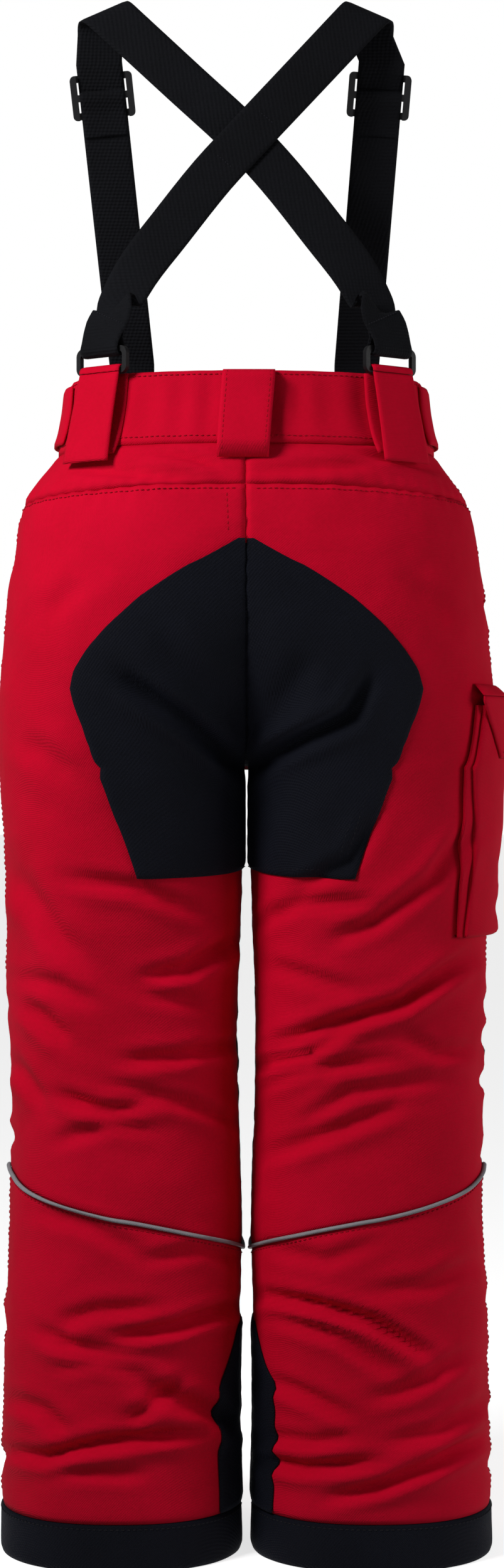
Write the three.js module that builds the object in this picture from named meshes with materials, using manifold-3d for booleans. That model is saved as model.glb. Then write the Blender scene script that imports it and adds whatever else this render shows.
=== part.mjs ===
// A child's padded ski trousers with crossed braces, in the shape they have when worn.
// Millimetres, +Z up. The hems lie in the plane z = 0, the wearer faces +Y and has their right hand at +X.
// The cloth is laid out on one smooth skin: a section of two rounded lobes at every height, one lobe for each leg,
// which merge into a single oval at the waist. Every panel is a stretch of that skin with its own thickness.
import * as THREE from 'three';
import { mergeVertices } from 'three/addons/utils/BufferGeometryUtils.js';
import Module from 'manifold-3d';

const wasm = await Module();
wasm.setup();

// ---------------------------------------------------------------- driving dimensions

// Heights above the hem.
const WAIST_Z = 776;
const CROTCH_Z = 518;
const BAND_HEIGHT = 48; // waistband
const YOKE_HEIGHT = 27.5; // back yoke at the centre, below the waistband
const YOKE_DROP = 8; // how much lower its seam is at the side
const FLARE_HEIGHT = 32; // of the trousers' widening below the waistband
const FLY_LENGTH = 112; // zip, from the waistband down
const KNEE_Z = 320; // axis about which the lower leg bends
const KNEE_PANEL_TOP_Z = 376; // top seam of the front knee panel
const KNEE_CUT_UP = 45; // how far above the knee axis the thigh cloth stops at the back
const PIPING_OUTER_Z = 254; // reflective piping at the side seam
const PIPING_DROP = 56; // how much lower the piping is at the inseam
const HEM_HEIGHT = 30;
const GUARD_TOP_Z = 152; // black edge guard on the inside of the ankle
const GAITER_TOP_Z = 190; // snow gaiter, sewn inside the leg

// Cloth and clearances.
const CLOTH = 3; // shell cloth with its wadding
const PATCH = 1.2; // reinforcement cloth sewn on the outside
const LINING = 1.5;
const LINING_GAP = 4.4; // between the shell cloth and the lining
const BAND_PROUD = 1; // waistband stands out from the skin by this
const SEAM = 0.5; // gap between two panels that are sewn edge to edge
const LAYER_GAP = 0.9; // gap between a panel and what is sewn flat on it
const TOUCH = 0.3; // gap between two pieces that touch
const SIDE_SEAM_STEP = 0.0018; // half a seam gap, as a share of the way from side seam to inseam

// Braces.
const WEB_WIDTH = 31;
const WEB = 1.5; // webbing thickness
const SHOULDER_ROLL = 7; // radius of the fold over the shoulder
const RING_SIDE_ROOM = 2.1; // between the webbing's edge and a ring's side
const RING_PITCH = 14.5; // between the centres of its two long bars
const RING_BAR = 3.4;
const RING_SLACK = 1.7; // room for a bar to move in a webbing loop
const SLIDER_SIDE_ROOM = 1.2; // between the webbing's edge and a slider's side
const SLIDER_RAIL = 4.3; // width of a slider's side
const SLIDER_PITCH = 12.4; // between the centres of neighbouring bars
const SLIDER_BAR = 4.6;
const SLIDER_THICK = 2;
const SLIDER_BELOW_TOP = 22; // from the top of the straight front run to the slider's middle bar

// Hardware and openings.
const TAB_SIDE_ROOM = 1.1; // between a cloth tab's edge and a ring's side
const TAB_LENGTH = 59; // from the top of the waistband down
const LOOP_WIDTH = 33; // belt loop at the centre back
const LOOP_LEAN = 4; // how far its foot lies to the left of its top
const LOOP_GAP = 8; // room for a belt behind it
const POCKET_TOP_Z = 565;
const POCKET_BOTTOM_Z = 409;
const POCKET_DEPTH = 6.2; // how far the bellows pocket stands out
const POCKET_WALL = 1.2;
const FLAP_TOP_Z = 574;
const FLAP_HINGE_Z = 566;
const FLAP_CLOTH = 1.5;
const FLAP_LENGTH = 48;
const ZIP_TAPE_WIDTH = 27;
const ZIP_CHAIN_WIDTH = 5;
const HAND_ZIP_LENGTH = 90;
const SNAP_RADIUS = 7.5;

const BAND_BOTTOM_Z = WAIST_Z - BAND_HEIGHT;
const YOKE_BOTTOM_Z = BAND_BOTTOM_Z - YOKE_HEIGHT;
const FLARE_BOTTOM_Z = BAND_BOTTOM_Z - FLARE_HEIGHT;
const FLY_BOTTOM_Z = BAND_BOTTOM_Z - FLY_LENGTH;
const THIGH_CUT_Z = KNEE_Z + KNEE_CUT_UP;
const TAB_BOTTOM_Z = WAIST_Z - TAB_LENGTH;
const LINING_DEPTH = CLOTH + LINING_GAP; // from the outer skin to the lining
const RING_WIDTH = WEB_WIDTH + 2 * (RING_SIDE_ROOM + RING_BAR);
const SLIDER_WIDTH = WEB_WIDTH + 2 * (SLIDER_SIDE_ROOM + SLIDER_RAIL);
const TAB_WIDTH = RING_WIDTH - 2 * (RING_BAR + TAB_SIDE_ROOM);

// A height between two others, as a share of the way up.
const between = (low, high, share) => low + share * (high - low);

// The skin's sections: half the width over both legs, the depth behind and in front of the side seams,
// and half the gap between the legs.
const SECTIONS = [
  { z: WAIST_Z, wide: 117, back: 80, front: 77, gap: 2.6 },
  { z: WAIST_Z - BAND_HEIGHT / 2, wide: 119, back: 86, front: 81, gap: 2.6 },
  { z: BAND_BOTTOM_Z, wide: 126, back: 96, front: 89, gap: 2.6 },
  { z: FLARE_BOTTOM_Z, wide: 147, back: 107, front: 96, gap: 2.6 },
  { z: between(CROTCH_Z, FLARE_BOTTOM_Z, 134 / 178), wide: 156, back: 113, front: 99, gap: 2.6 },
  { z: between(CROTCH_Z, FLARE_BOTTOM_Z, 82 / 178), wide: 163, back: 112, front: 98, gap: 2.6 },
  { z: CROTCH_Z, wide: 165, back: 94, front: 90, gap: 2.6 },
  { z: between(KNEE_Z, CROTCH_Z, 122 / 198), wide: 161, back: 83, front: 84, gap: 2.8 },
  { z: between(KNEE_Z, CROTCH_Z, 38 / 198), wide: 160, back: 75, front: 81, gap: 6 },
  { z: between(0, KNEE_Z, 300 / 320), wide: 158, back: 73, front: 80, gap: 5.5 },
  { z: between(0, KNEE_Z, 215 / 320), wide: 158, back: 74, front: 73, gap: 3 },
  { z: between(0, KNEE_Z, 110 / 320), wide: 162, back: 76, front: 72, gap: 5.5 },
  { z: 0, wide: 164, back: 79, front: 75, gap: 3 },
];
const SQUARENESS = 2.25; // exponent of the lobes, 2 being an ellipse
const CLEFT = 1.4; // how fast the two lobes merge above the crotch
const CLEFT_EASE = 0.1; // and how gently they start to
const CENTRE_Y = 7; // of the side seams

const LEFT = -1;
const RIGHT = 1;
const SIDES = [
  ['left', LEFT],
  ['right', RIGHT],
];

// ---------------------------------------------------------------- materials

const material = (color, roughness, metalness = 0) =>
  new THREE.MeshStandardMaterial({ color, roughness, metalness });
const RED_SHELL = material(0xc8062c, 0.75);
const BLACK_PATCH = material(0x0e0e14, 0.85);
const DARK_LINING = material(0x1b1b20, 0.9);
const BLACK_WEBBING = material(0x111114, 0.85);
const REFLECTIVE = material(0xa9abb0, 0.35);
const BLACK_PLASTIC = material(0x141416, 0.4);
const ZIP_METAL = material(0x2a2a2e, 0.4, 0.8);

// ---------------------------------------------------------------- the skin

const { lerp, clamp } = THREE.MathUtils;

// A size at height z, on a smooth curve through the sections.
function sized(key, z) {
  const last = SECTIONS.length - 1;
  let i = SECTIONS.findIndex((s) => s.z <= z) - 1;
  i = clamp(i < -1 ? last - 1 : i, 0, last - 1);
  const slope = (j) => {
    const a = SECTIONS[Math.max(j - 1, 0)];
    const b = SECTIONS[Math.min(j + 1, last)];
    return (b[key] - a[key]) / (b.z - a.z);
  };
  const [upper, lower] = [SECTIONS[i], SECTIONS[i + 1]];
  const span = lower.z - upper.z;
  const t = clamp((z - upper.z) / span, 0, 1);
  return (
    (2 * t ** 3 - 3 * t ** 2 + 1) * upper[key] +
    (t ** 3 - 2 * t ** 2 + t) * span * slope(i) +
    (3 * t ** 2 - 2 * t ** 3) * lower[key] +
    (t ** 3 - t ** 2) * span * slope(i + 1)
  );
}

// The right leg's lobe at height z: its centre across, its half width and its two depths.
function lobe(z) {
  const wide = sized('wide', z);
  const gap = sized('gap', z);
  const rise = clamp((z - CROTCH_Z) / (WAIST_Z - CROTCH_Z), 0, 1);
  const eased = (rise * rise * (1 + CLEFT_EASE)) / (rise + CLEFT_EASE);
  const centre = ((wide + gap) / 2) * (1 - eased) ** CLEFT;
  return { centre, half: wide - centre, back: sized('back', z), front: sized('front', z), gap };
}

const rounded = (v) => Math.sign(v) * Math.abs(v) ** (2 / SQUARENESS);

// A point of the right lobe. The angle is 0 at the side seam, positive to the front and negative to the back.
function lobePoint(angle, z) {
  const { centre, half, back, front } = lobe(z);
  const across = rounded(Math.cos(angle));
  const along = rounded(Math.sin(angle));
  return new THREE.Vector3(centre + half * across, CENTRE_Y + along * (along > 0 ? front : back), z);
}

function lobeNormal(angle, z) {
  const step = 0.02;
  const around = lobePoint(angle + step, z).sub(lobePoint(angle - step, z));
  // The hem's lower edge is level, so there the skin counts as upright.
  const up = z < 1 ? new THREE.Vector3(0, 0, 1) : lobePoint(angle, z + 1).sub(lobePoint(angle, z - 1));
  return around.cross(up).normalize();
}

// The angle at which the lobe meets the upright plane x = cut between the legs.
function seamAngle(z, cut) {
  const { centre, half } = lobe(z);
  const share = clamp((cut - centre) / half, -1, 1);
  return Math.acos(Math.sign(share) * Math.abs(share) ** (SQUARENESS / 2));
}

// The front panels part at the fly, and meet below it.
function frontCut(z) {
  const gap = sized('gap', z);
  const below = clamp((FLY_BOTTOM_Z - z) / 20, 0, 1);
  const nearCrotch = clamp((CROTCH_Z + 50 - z) / 50, 0, 1);
  return lerp(lerp(ZIP_CHAIN_WIDTH / 2 + 1.1, SEAM, below), gap, nearCrotch);
}

const backCut = (z) => lerp(SEAM / 2, sized('gap', z), clamp((CROTCH_Z + 30 - z) / 30, 0, 1));

// A point on a leg's skin. psi runs from 0 at the side seam to 1 at the front inseam and -1 at the back one,
// or past 1 round the inseam below the crotch; lift is outwards from the skin.
function skin(side, psi, z, lift) {
  const cut = psi > 0 ? frontCut(z) : backCut(z);
  const angle = psi * seamAngle(z, cut);
  const p = lobePoint(angle, z).addScaledVector(lobeNormal(angle, z), lift);
  p.x = side * Math.max(p.x, TOUCH);
  return p;
}

// A point round the waist: k is 0 at the centre back, 1 at the right side seam and 2 at the centre front,
// and negative on the left.
function waist(k, z, lift) {
  const side = k < 0 ? LEFT : RIGHT;
  const angle = (Math.abs(k) - 1) * seamAngle(z, 0);
  const p = lobePoint(angle, z).addScaledVector(lobeNormal(angle, z), lift);
  p.x *= side;
  return p;
}

// The k behind at which the waist is so far across from the centre.
function kAcross(x, z) {
  return Math.sign(x) * (1 - seamAngle(z, Math.abs(x)) / seamAngle(z, 0));
}

// How far k moves for a millimetre round the waist.
function perMm(k) {
  const step = 0.01;
  return (2 * step) / waist(k - step, WAIST_Z - 20, 0).distanceTo(waist(k + step, WAIST_Z - 20, 0));
}

// ---------------------------------------------------------------- builders

function geometryFrom(points, faces) {
  const g = new THREE.BufferGeometry();
  g.setAttribute('position', new THREE.Float32BufferAttribute(points.flatMap((p) => [p.x, p.y, p.z]), 3));
  g.setIndex(faces);
  return g;
}

// Turns every face round if they point inwards.
function facingOut(points, faces) {
  let volume = 0;
  for (let i = 0; i < faces.length; i += 3) {
    const [a, b, c] = [points[faces[i]], points[faces[i + 1]], points[faces[i + 2]]];
    volume += a.dot(b.clone().cross(c));
  }
  if (volume < 0) for (let i = 0; i < faces.length; i += 3) [faces[i], faces[i + 1]] = [faces[i + 1], faces[i]];
  return geometryFrom(points, faces);
}

// A closed sheet of some thickness. at(s, t, lift) gives its points, with s across and t down, both from 0 to 1.
// outer and inner are lifts, or functions of s and t; a closed sheet joins its last column to its first.
function sheet(at, { outer, inner, cols, rows, closed = false }) {
  const value = (v, s, t) => (typeof v === 'function' ? v(s, t) : v);
  const wide = closed ? cols : cols + 1;
  const points = [];
  for (const lift of [outer, inner])
    for (let j = 0; j <= rows; j++)
      for (let i = 0; i < wide; i++) points.push(at(i / cols, j / rows, value(lift, i / cols, j / rows)));
  const layer = wide * (rows + 1);
  const index = (l, i, j) => l * layer + j * wide + (i % wide);
  const faces = [];
  const quad = (a, b, c, d) => faces.push(a, b, c, a, c, d);
  for (let i = 0; i < cols; i++) {
    for (let j = 0; j < rows; j++) {
      quad(index(0, i, j), index(0, i + 1, j), index(0, i + 1, j + 1), index(0, i, j + 1));
      quad(index(1, i, j), index(1, i, j + 1), index(1, i + 1, j + 1), index(1, i + 1, j));
    }
    quad(index(0, i + 1, 0), index(0, i, 0), index(1, i, 0), index(1, i + 1, 0));
    quad(index(0, i, rows), index(0, i + 1, rows), index(1, i + 1, rows), index(1, i, rows));
  }
  if (!closed)
    for (let j = 0; j < rows; j++) {
      quad(index(0, 0, j), index(0, 0, j + 1), index(1, 0, j + 1), index(1, 0, j));
      quad(index(0, cols, j + 1), index(0, cols, j), index(1, cols, j), index(1, cols, j + 1));
    }
  return facingOut(points, faces);
}

// A stretch of a leg's skin between two seams, from a top line to a bottom line.
function panel(side, { from, to, top, bottom, ...rest }) {
  const value = (v, x) => (typeof v === 'function' ? v(x) : v);
  const at = (s, t, lift) => {
    const rough = lerp(value(from, t), value(to, t), s);
    const z = lerp(value(top, rough), value(bottom, rough), t);
    return skin(side, rough, z, lift);
  };
  return sheet(at, rest);
}

function solidOf(geometry) {
  const bare = geometry.clone();
  bare.deleteAttribute('normal');
  bare.deleteAttribute('uv');
  const merged = mergeVertices(bare, 1e-4);
  const vertProperties = merged.attributes.position.array;
  return new wasm.Manifold(new wasm.Mesh({ numProp: 3, vertProperties, triVerts: new Uint32Array(merged.index.array) }));
}

function geometryOf(solid) {
  const { vertProperties, triVerts } = solid.getMesh();
  const g = new THREE.BufferGeometry();
  g.setAttribute('position', new THREE.BufferAttribute(vertProperties, 3));
  g.setIndex(new THREE.BufferAttribute(triVerts, 1));
  return g;
}

const cutFrom = (body, ...tools) =>
  geometryOf(tools.reduce((left, tool) => left.subtract(solidOf(tool)), solidOf(body)));

// A flat plate in the XZ plane with rectangular windows, its thickness along Y.
function plate(width, height, corner, thickness, windows) {
  const outline = roundedRectangle(new THREE.Shape(), 0, 0, width, height, corner);
  for (const [x, z, w, h, r] of windows) outline.holes.push(roundedRectangle(new THREE.Path(), x, z, w, h, r));
  const g = new THREE.ExtrudeGeometry(outline, { depth: thickness, bevelEnabled: false, curveSegments: 3 });
  return g.translate(0, 0, -thickness / 2).rotateX(Math.PI / 2);
}

function roundedRectangle(path, x, y, width, height, corner) {
  const [w, h] = [width / 2 - corner, height / 2 - corner];
  path.moveTo(x + width / 2, y - h);
  path.absarc(x + w, y + h, corner, 0, Math.PI / 2);
  path.absarc(x - w, y + h, corner, Math.PI / 2, Math.PI);
  path.absarc(x - w, y - h, corner, Math.PI, Math.PI * 1.5);
  path.absarc(x + w, y - h, corner, Math.PI * 1.5, Math.PI * 2);
  path.closePath();
  return path;
}

// A webbing ribbon along stations { p, n }, where n is the direction its face looks in. A station can give its own
// point at a distance across and a lift instead, as edge(v, lift).
function ribbon(stations, width = WEB_WIDTH) {
  const last = stations.length - 1;
  const frames = stations.map(({ p, n, edge }, i) => {
    const along = stations[Math.min(i + 1, last)].p.clone().sub(stations[Math.max(i - 1, 0)].p).normalize();
    const across = along.clone().cross(n).normalize();
    return { p, across, face: across.clone().cross(along), edge };
  });
  const at = (s, t, lift) => {
    const { p, across, face, edge } = frames[Math.round(t * last)];
    const v = (s - 0.5) * width;
    return edge ? edge(v, lift) : p.clone().addScaledVector(across, v).addScaledVector(face, lift);
  };
  return sheet(at, { outer: WEB / 2, inner: -WEB / 2, cols: 1, rows: last });
}

// A frame that sits on the garment: its origin is a point, X runs along the cloth, Y outwards and Z upwards.
function frameAt(point, outward, up) {
  const y = outward.clone().normalize();
  const x = y.clone().cross(up).normalize();
  const z = x.clone().cross(y);
  const matrix = new THREE.Matrix4().makeBasis(x, y, z).setPosition(point);
  const group = new THREE.Group();
  matrix.decompose(group.position, group.quaternion, group.scale);
  group.updateMatrixWorld(true);
  return group;
}

const model = new THREE.Group();
const hips = new THREE.Group();
const braces = new THREE.Group();
model.add(hips, braces);

function add(parent, name, geometry, look) {
  const mesh = new THREE.Mesh(geometry, look);
  mesh.name = name;
  parent.add(mesh);
  return mesh;
}

// ---------------------------------------------------------------- shell panels

const EDGE = SIDE_SEAM_STEP;
const pipingZ = (psi) => PIPING_OUTER_Z - PIPING_DROP * (1 - Math.abs(1 - Math.abs(psi)));
const yokeZ = (psi) => YOKE_BOTTOM_Z - YOKE_DROP * (1 - Math.abs(psi)) ** 2;
const kneeTopZ = (psi) => KNEE_PANEL_TOP_Z + 14 * Math.sin(Math.PI * Math.min(Math.abs(psi), 1));
const shellCloth = { outer: 0, inner: -CLOTH };

function upperPanels(side, name) {
  const back = { from: -EDGE, to: -1, ...shellCloth, cols: 12 };
  add(hips, `back_yoke_${name}`,
    panel(side, { ...back, top: BAND_BOTTOM_Z - SEAM, bottom: (psi) => yokeZ(psi) + SEAM / 2, rows: 2 }), RED_SHELL);
  add(hips, `back_panel_${name}`,
    panel(side, { ...back, top: (psi) => yokeZ(psi) - SEAM / 2, bottom: THIGH_CUT_Z, rows: 15 }), RED_SHELL);
  const front = { from: EDGE, to: 1, ...shellCloth, cols: 12 };
  add(hips, `front_panel_${name}`,
    panel(side, { ...front, top: BAND_BOTTOM_Z - SEAM, bottom: (psi) => kneeTopZ(psi) + SEAM, rows: 12 }), RED_SHELL);
}

// The lining of one side, front and back in one piece, hung inside the shell.
function lining(side, name) {
  const shape = { outer: -LINING_DEPTH, inner: -LINING_DEPTH - LINING, cols: 18, rows: 10 };
  add(hips, `lining_${name}`,
    panel(side, { ...shape, from: -0.96, to: 0.92, top: BAND_BOTTOM_Z - SEAM, bottom: THIGH_CUT_Z + 18 }), DARK_LINING);
}

// The dark seat patch of one side: a curved upper edge from the centre seam to the hip, then a straight edge
// down to the back of the thigh.
const PATCH_TOP_Z = 665;
const PATCH_BOTTOM_Z = 448;
const PATCH_BOTTOM_RISE = 6; // of its lower edge at the inseam
const SEAT_LIFT = 1.35;

// The outer edge, as heights and how far round the leg it is there.
const PATCH_EDGE = [
  [665, 0.98], [660, 0.945], [648, 0.863], [628, 0.738], [610, 0.643], [596, 0.577],
  [582, 0.522], [570, 0.497], [562, 0.497], [545, 0.5], [533, 0.493], [522, 0.473], [513, 0.47],
  [503, 0.482], [481, 0.503], [448, 0.537],
];

function seatPatchEdge(z) {
  const i = clamp(PATCH_EDGE.findIndex(([height]) => height <= z), 1, PATCH_EDGE.length - 1);
  const [[z0, a], [z1, b]] = [PATCH_EDGE[i - 1], PATCH_EDGE[i]];
  return lerp(a, b, clamp((z - z0) / (z1 - z0), 0, 1));
}

function seatPatch(side, name) {
  const at = (s, t, lift) => {
    const z = lerp(PATCH_TOP_Z, PATCH_BOTTOM_Z, t);
    return skin(side, -lerp(seatPatchEdge(z), 0.985, s), z + PATCH_BOTTOM_RISE * t ** 4 * s * s, lift);
  };
  add(hips, `seat_patch_${name}`,
    sheet(at, { outer: SEAT_LIFT + PATCH, inner: SEAT_LIFT, cols: 12, rows: 24 }), BLACK_PATCH);
}

for (const [name, side] of SIDES) {
  upperPanels(side, name);
  lining(side, name);
  seatPatch(side, name);
}

// ---------------------------------------------------------------- lower legs

// Everything below the knee is one group for each leg, with its origin on the knee axis.
function lowerLeg(side, name) {
  const leg = new THREE.Group();
  leg.position.set(side * lobe(KNEE_Z).centre, CENTRE_Y, KNEE_Z);
  leg.name = `${name}_shin`;
  model.add(leg);
  const place = (part, geometry, look) =>
    add(leg, `${part}_${name}`, geometry.translate(-leg.position.x, -leg.position.y, -leg.position.z), look);

  const below = (line, gap) => (psi) => line(psi) - gap;
  const back = { from: -EDGE, to: -1 + EDGE, ...shellCloth, cols: 12 };
  const front = { from: EDGE, to: 1 - EDGE, ...shellCloth, cols: 12 };
  place('knee_back_panel',
    panel(side, { ...back, top: THIGH_CUT_Z - SEAM, bottom: below(pipingZ, -SEAM / 2), rows: 4 }), RED_SHELL);
  place('knee_patch',
    panel(side, { ...front, top: kneeTopZ, bottom: below(pipingZ, -SEAM / 2), rows: 4 }), BLACK_PATCH);
  place('calf_panel',
    panel(side, { ...back, top: below(pipingZ, SEAM / 2), bottom: HEM_HEIGHT + SEAM, rows: 7 }), RED_SHELL);
  place('shin_panel',
    panel(side, { ...front, top: below(pipingZ, SEAM / 2), bottom: HEM_HEIGHT + SEAM, rows: 7 }), RED_SHELL);

  // Rings round the whole leg.
  const ring = (top, bottom) => (s, t, lift) => {
    const psi = 2 * s;
    return skin(side, psi, lerp(top(psi), bottom(psi), t), lift);
  };
  const cord = 3.2;
  place('reflective_piping',
    sheet(ring((psi) => pipingZ(psi) + cord / 2, (psi) => pipingZ(psi) - cord / 2),
      { outer: LAYER_GAP + cord / 2, inner: LAYER_GAP, cols: 28, rows: 1, closed: true }), REFLECTIVE);
  place('hem_band',
    sheet(ring(() => HEM_HEIGHT, () => 0),
      { outer: 0.4, inner: -CLOTH, cols: 28, rows: 1, closed: true }), BLACK_PATCH);

  // The gaiter is sewn to the shell at its top and drawn in by elastic at its foot.
  const drawnIn = 15;
  const gaiterLift = (s, t) => -CLOTH - LAYER_GAP - drawnIn * t ** 0.8;
  place('snow_gaiter',
    sheet(ring(() => GAITER_TOP_Z, () => 14),
      { outer: gaiterLift, inner: (s, t) => gaiterLift(s, t) - LINING, cols: 20, rows: 4, closed: true }), DARK_LINING);

  // The edge guard wraps the inside of the ankle, wider to the back.
  const guardTop = (psi) => GUARD_TOP_Z - 330 * Math.max(0, Math.abs(psi - 1) - 0.08);
  place('ankle_guard',
    sheet((s, t, lift) => {
      const psi = lerp(0.8, 1.2, s);
      return skin(side, psi, lerp(guardTop(psi), HEM_HEIGHT + 1, t), lift);
    }, { outer: LAYER_GAP + PATCH, inner: LAYER_GAP, cols: 8, rows: 3 }), BLACK_PATCH);
}

for (const [name, side] of SIDES) lowerLeg(side, name);

// ---------------------------------------------------------------- waistband and what is on it

const bandFrom = (k0, k1, top = WAIST_Z, bottom = BAND_BOTTOM_Z) => (s, t, lift) =>
  waist(lerp(k0, k1, s), lerp(top, bottom, t), lift);
const bandCloth = { outer: BAND_PROUD, inner: BAND_PROUD - 4, rows: 2 };
const bandSurface = BAND_PROUD + TOUCH;
const bandEdge = 2 * EDGE;
const frontEnd = 2 - 0.012; // where each front half of the band stops, at the fly

add(hips, 'waistband_back', sheet(bandFrom(-1 + bandEdge, 1 - bandEdge), { ...bandCloth, cols: 20 }), RED_SHELL);
for (const [name, side] of SIDES)
  add(hips, `waistband_front_${name}`,
    sheet(bandFrom(side * (1 + bandEdge), side * frontEnd), { ...bandCloth, cols: 10 }), RED_SHELL);

// Belt loop: sewn down at both ends, standing clear of the band between them.
function beltLoop() {
  const stand = (s, t) => bandSurface + TOUCH + LOOP_GAP * Math.min(1, 2.2 * Math.sin(Math.PI * t) ** 0.7);
  add(hips, 'belt_loop',
    sheet(
      (s, t, lift) => {
        const z = lerp(WAIST_Z, TAB_BOTTOM_Z, t);
        return waist(kAcross((s - 0.5) * LOOP_WIDTH + (t - 0.5) * -LOOP_LEAN, z), z, lift);
      },
      { outer: (s, t) => stand(s, t) + 1.6, inner: stand, cols: 4, rows: 12 }), RED_SHELL);
}
beltLoop();

// The waist adjuster of one side: a tab sewn at its back end that peels off the band about that end.
const ADJUSTER_K = 0.8;
const ADJUSTER_END_K = 1.42;
function waistAdjuster(side, name) {
  const [top, bottom] = [WAIST_Z - 4, BAND_BOTTOM_Z + 4];
  const lift = BAND_PROUD + LAYER_GAP;
  const pivot = waist(side * ADJUSTER_K, BAND_BOTTOM_Z + BAND_HEIGHT / 2, lift);
  const group = new THREE.Group();
  group.name = `waist_adjuster_${name}_pivot`;
  group.position.copy(pivot);
  hips.add(group);
  const tip = (s) => 9 * Math.max(0, (s - 0.86) / 0.14) ** 2;
  const at = (s, t, l) =>
    waist(side * lerp(ADJUSTER_K, ADJUSTER_END_K, s), lerp(top - tip(s), bottom + tip(s), t), l).sub(pivot);
  add(group, `waist_adjuster_${name}`, sheet(at, { outer: lift + 2, inner: lift, cols: 9, rows: 2 }), RED_SHELL);
}

for (const [name, side] of SIDES) waistAdjuster(side, name);

// ---------------------------------------------------------------- rings and their cloth tabs

const TAB_K = 0.53;
const FOLD_CLOTH = 1.6;
const FOLD_RADIUS = RING_BAR / 2 + 1.15 + FOLD_CLOTH / 2; // centre line of the cloth round the ring's lower bar
const BAR_ABOVE_WAIST = 1;
const TAB_LIFT = BAND_PROUD + LAYER_GAP + FOLD_CLOTH / 2;
const LEAF_FOOT_LIFT = TAB_LIFT + FOLD_CLOTH + 2 * LAYER_GAP;

// The frame of a ring: its origin is the middle of the lower bar.
function ringFrame(side) {
  const foot = waist(side * TAB_K, WAIST_Z, 0);
  const normal = lobeNormal((TAB_K - 1) * seamAngle(WAIST_Z, 0), WAIST_Z);
  normal.set(side * normal.x, normal.y, 0).normalize();
  const origin = foot.clone().addScaledVector(normal, TAB_LIFT + FOLD_RADIUS);
  origin.z = WAIST_Z + BAR_ABOVE_WAIST;
  return { origin, normal, across: new THREE.Vector3(-normal.y, normal.x, 0) };
}

// A point of a ring's frame: y is outwards and z upwards from the middle of the lower bar.
const inFrame = ({ origin, normal }, y, z) => origin.clone().addScaledVector(normal, y).add(new THREE.Vector3(0, 0, z));

// Stations round a bar at the frame's height z0, from one side of it to the other.
function roundBar(frame, z0, radius, fromAngle, toAngle, count) {
  const stations = [];
  for (let i = 0; i <= count; i++) {
    const a = lerp(fromAngle, toAngle, i / count);
    const [y, z] = [radius * Math.cos(a), radius * Math.sin(a)];
    const n = frame.normal.clone().multiplyScalar(Math.cos(a)).add(new THREE.Vector3(0, 0, Math.sin(a)));
    stations.push({ p: inFrame(frame, y, z0 + z), n });
  }
  return stations;
}

function clothRibbon(stations, thickness, width) {
  const last = stations.length - 1;
  const frames = stations.map(({ p, n, across }, i) => {
    const along = stations[Math.min(i + 1, last)].p.clone().sub(stations[Math.max(i - 1, 0)].p).normalize();
    const side = (across ? across.clone() : along.clone().cross(n)).normalize();
    return { p, side, face: along.clone().cross(side).multiplyScalar(-1).normalize() };
  });
  const at = (s, t, lift) => {
    const { p, side, face } = frames[Math.round(t * last)];
    return p.clone().addScaledVector(side, (s - 0.5) * width).addScaledVector(face, lift);
  };
  return sheet(at, { outer: thickness / 2, inner: -thickness / 2, cols: 1, rows: last });
}

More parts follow.
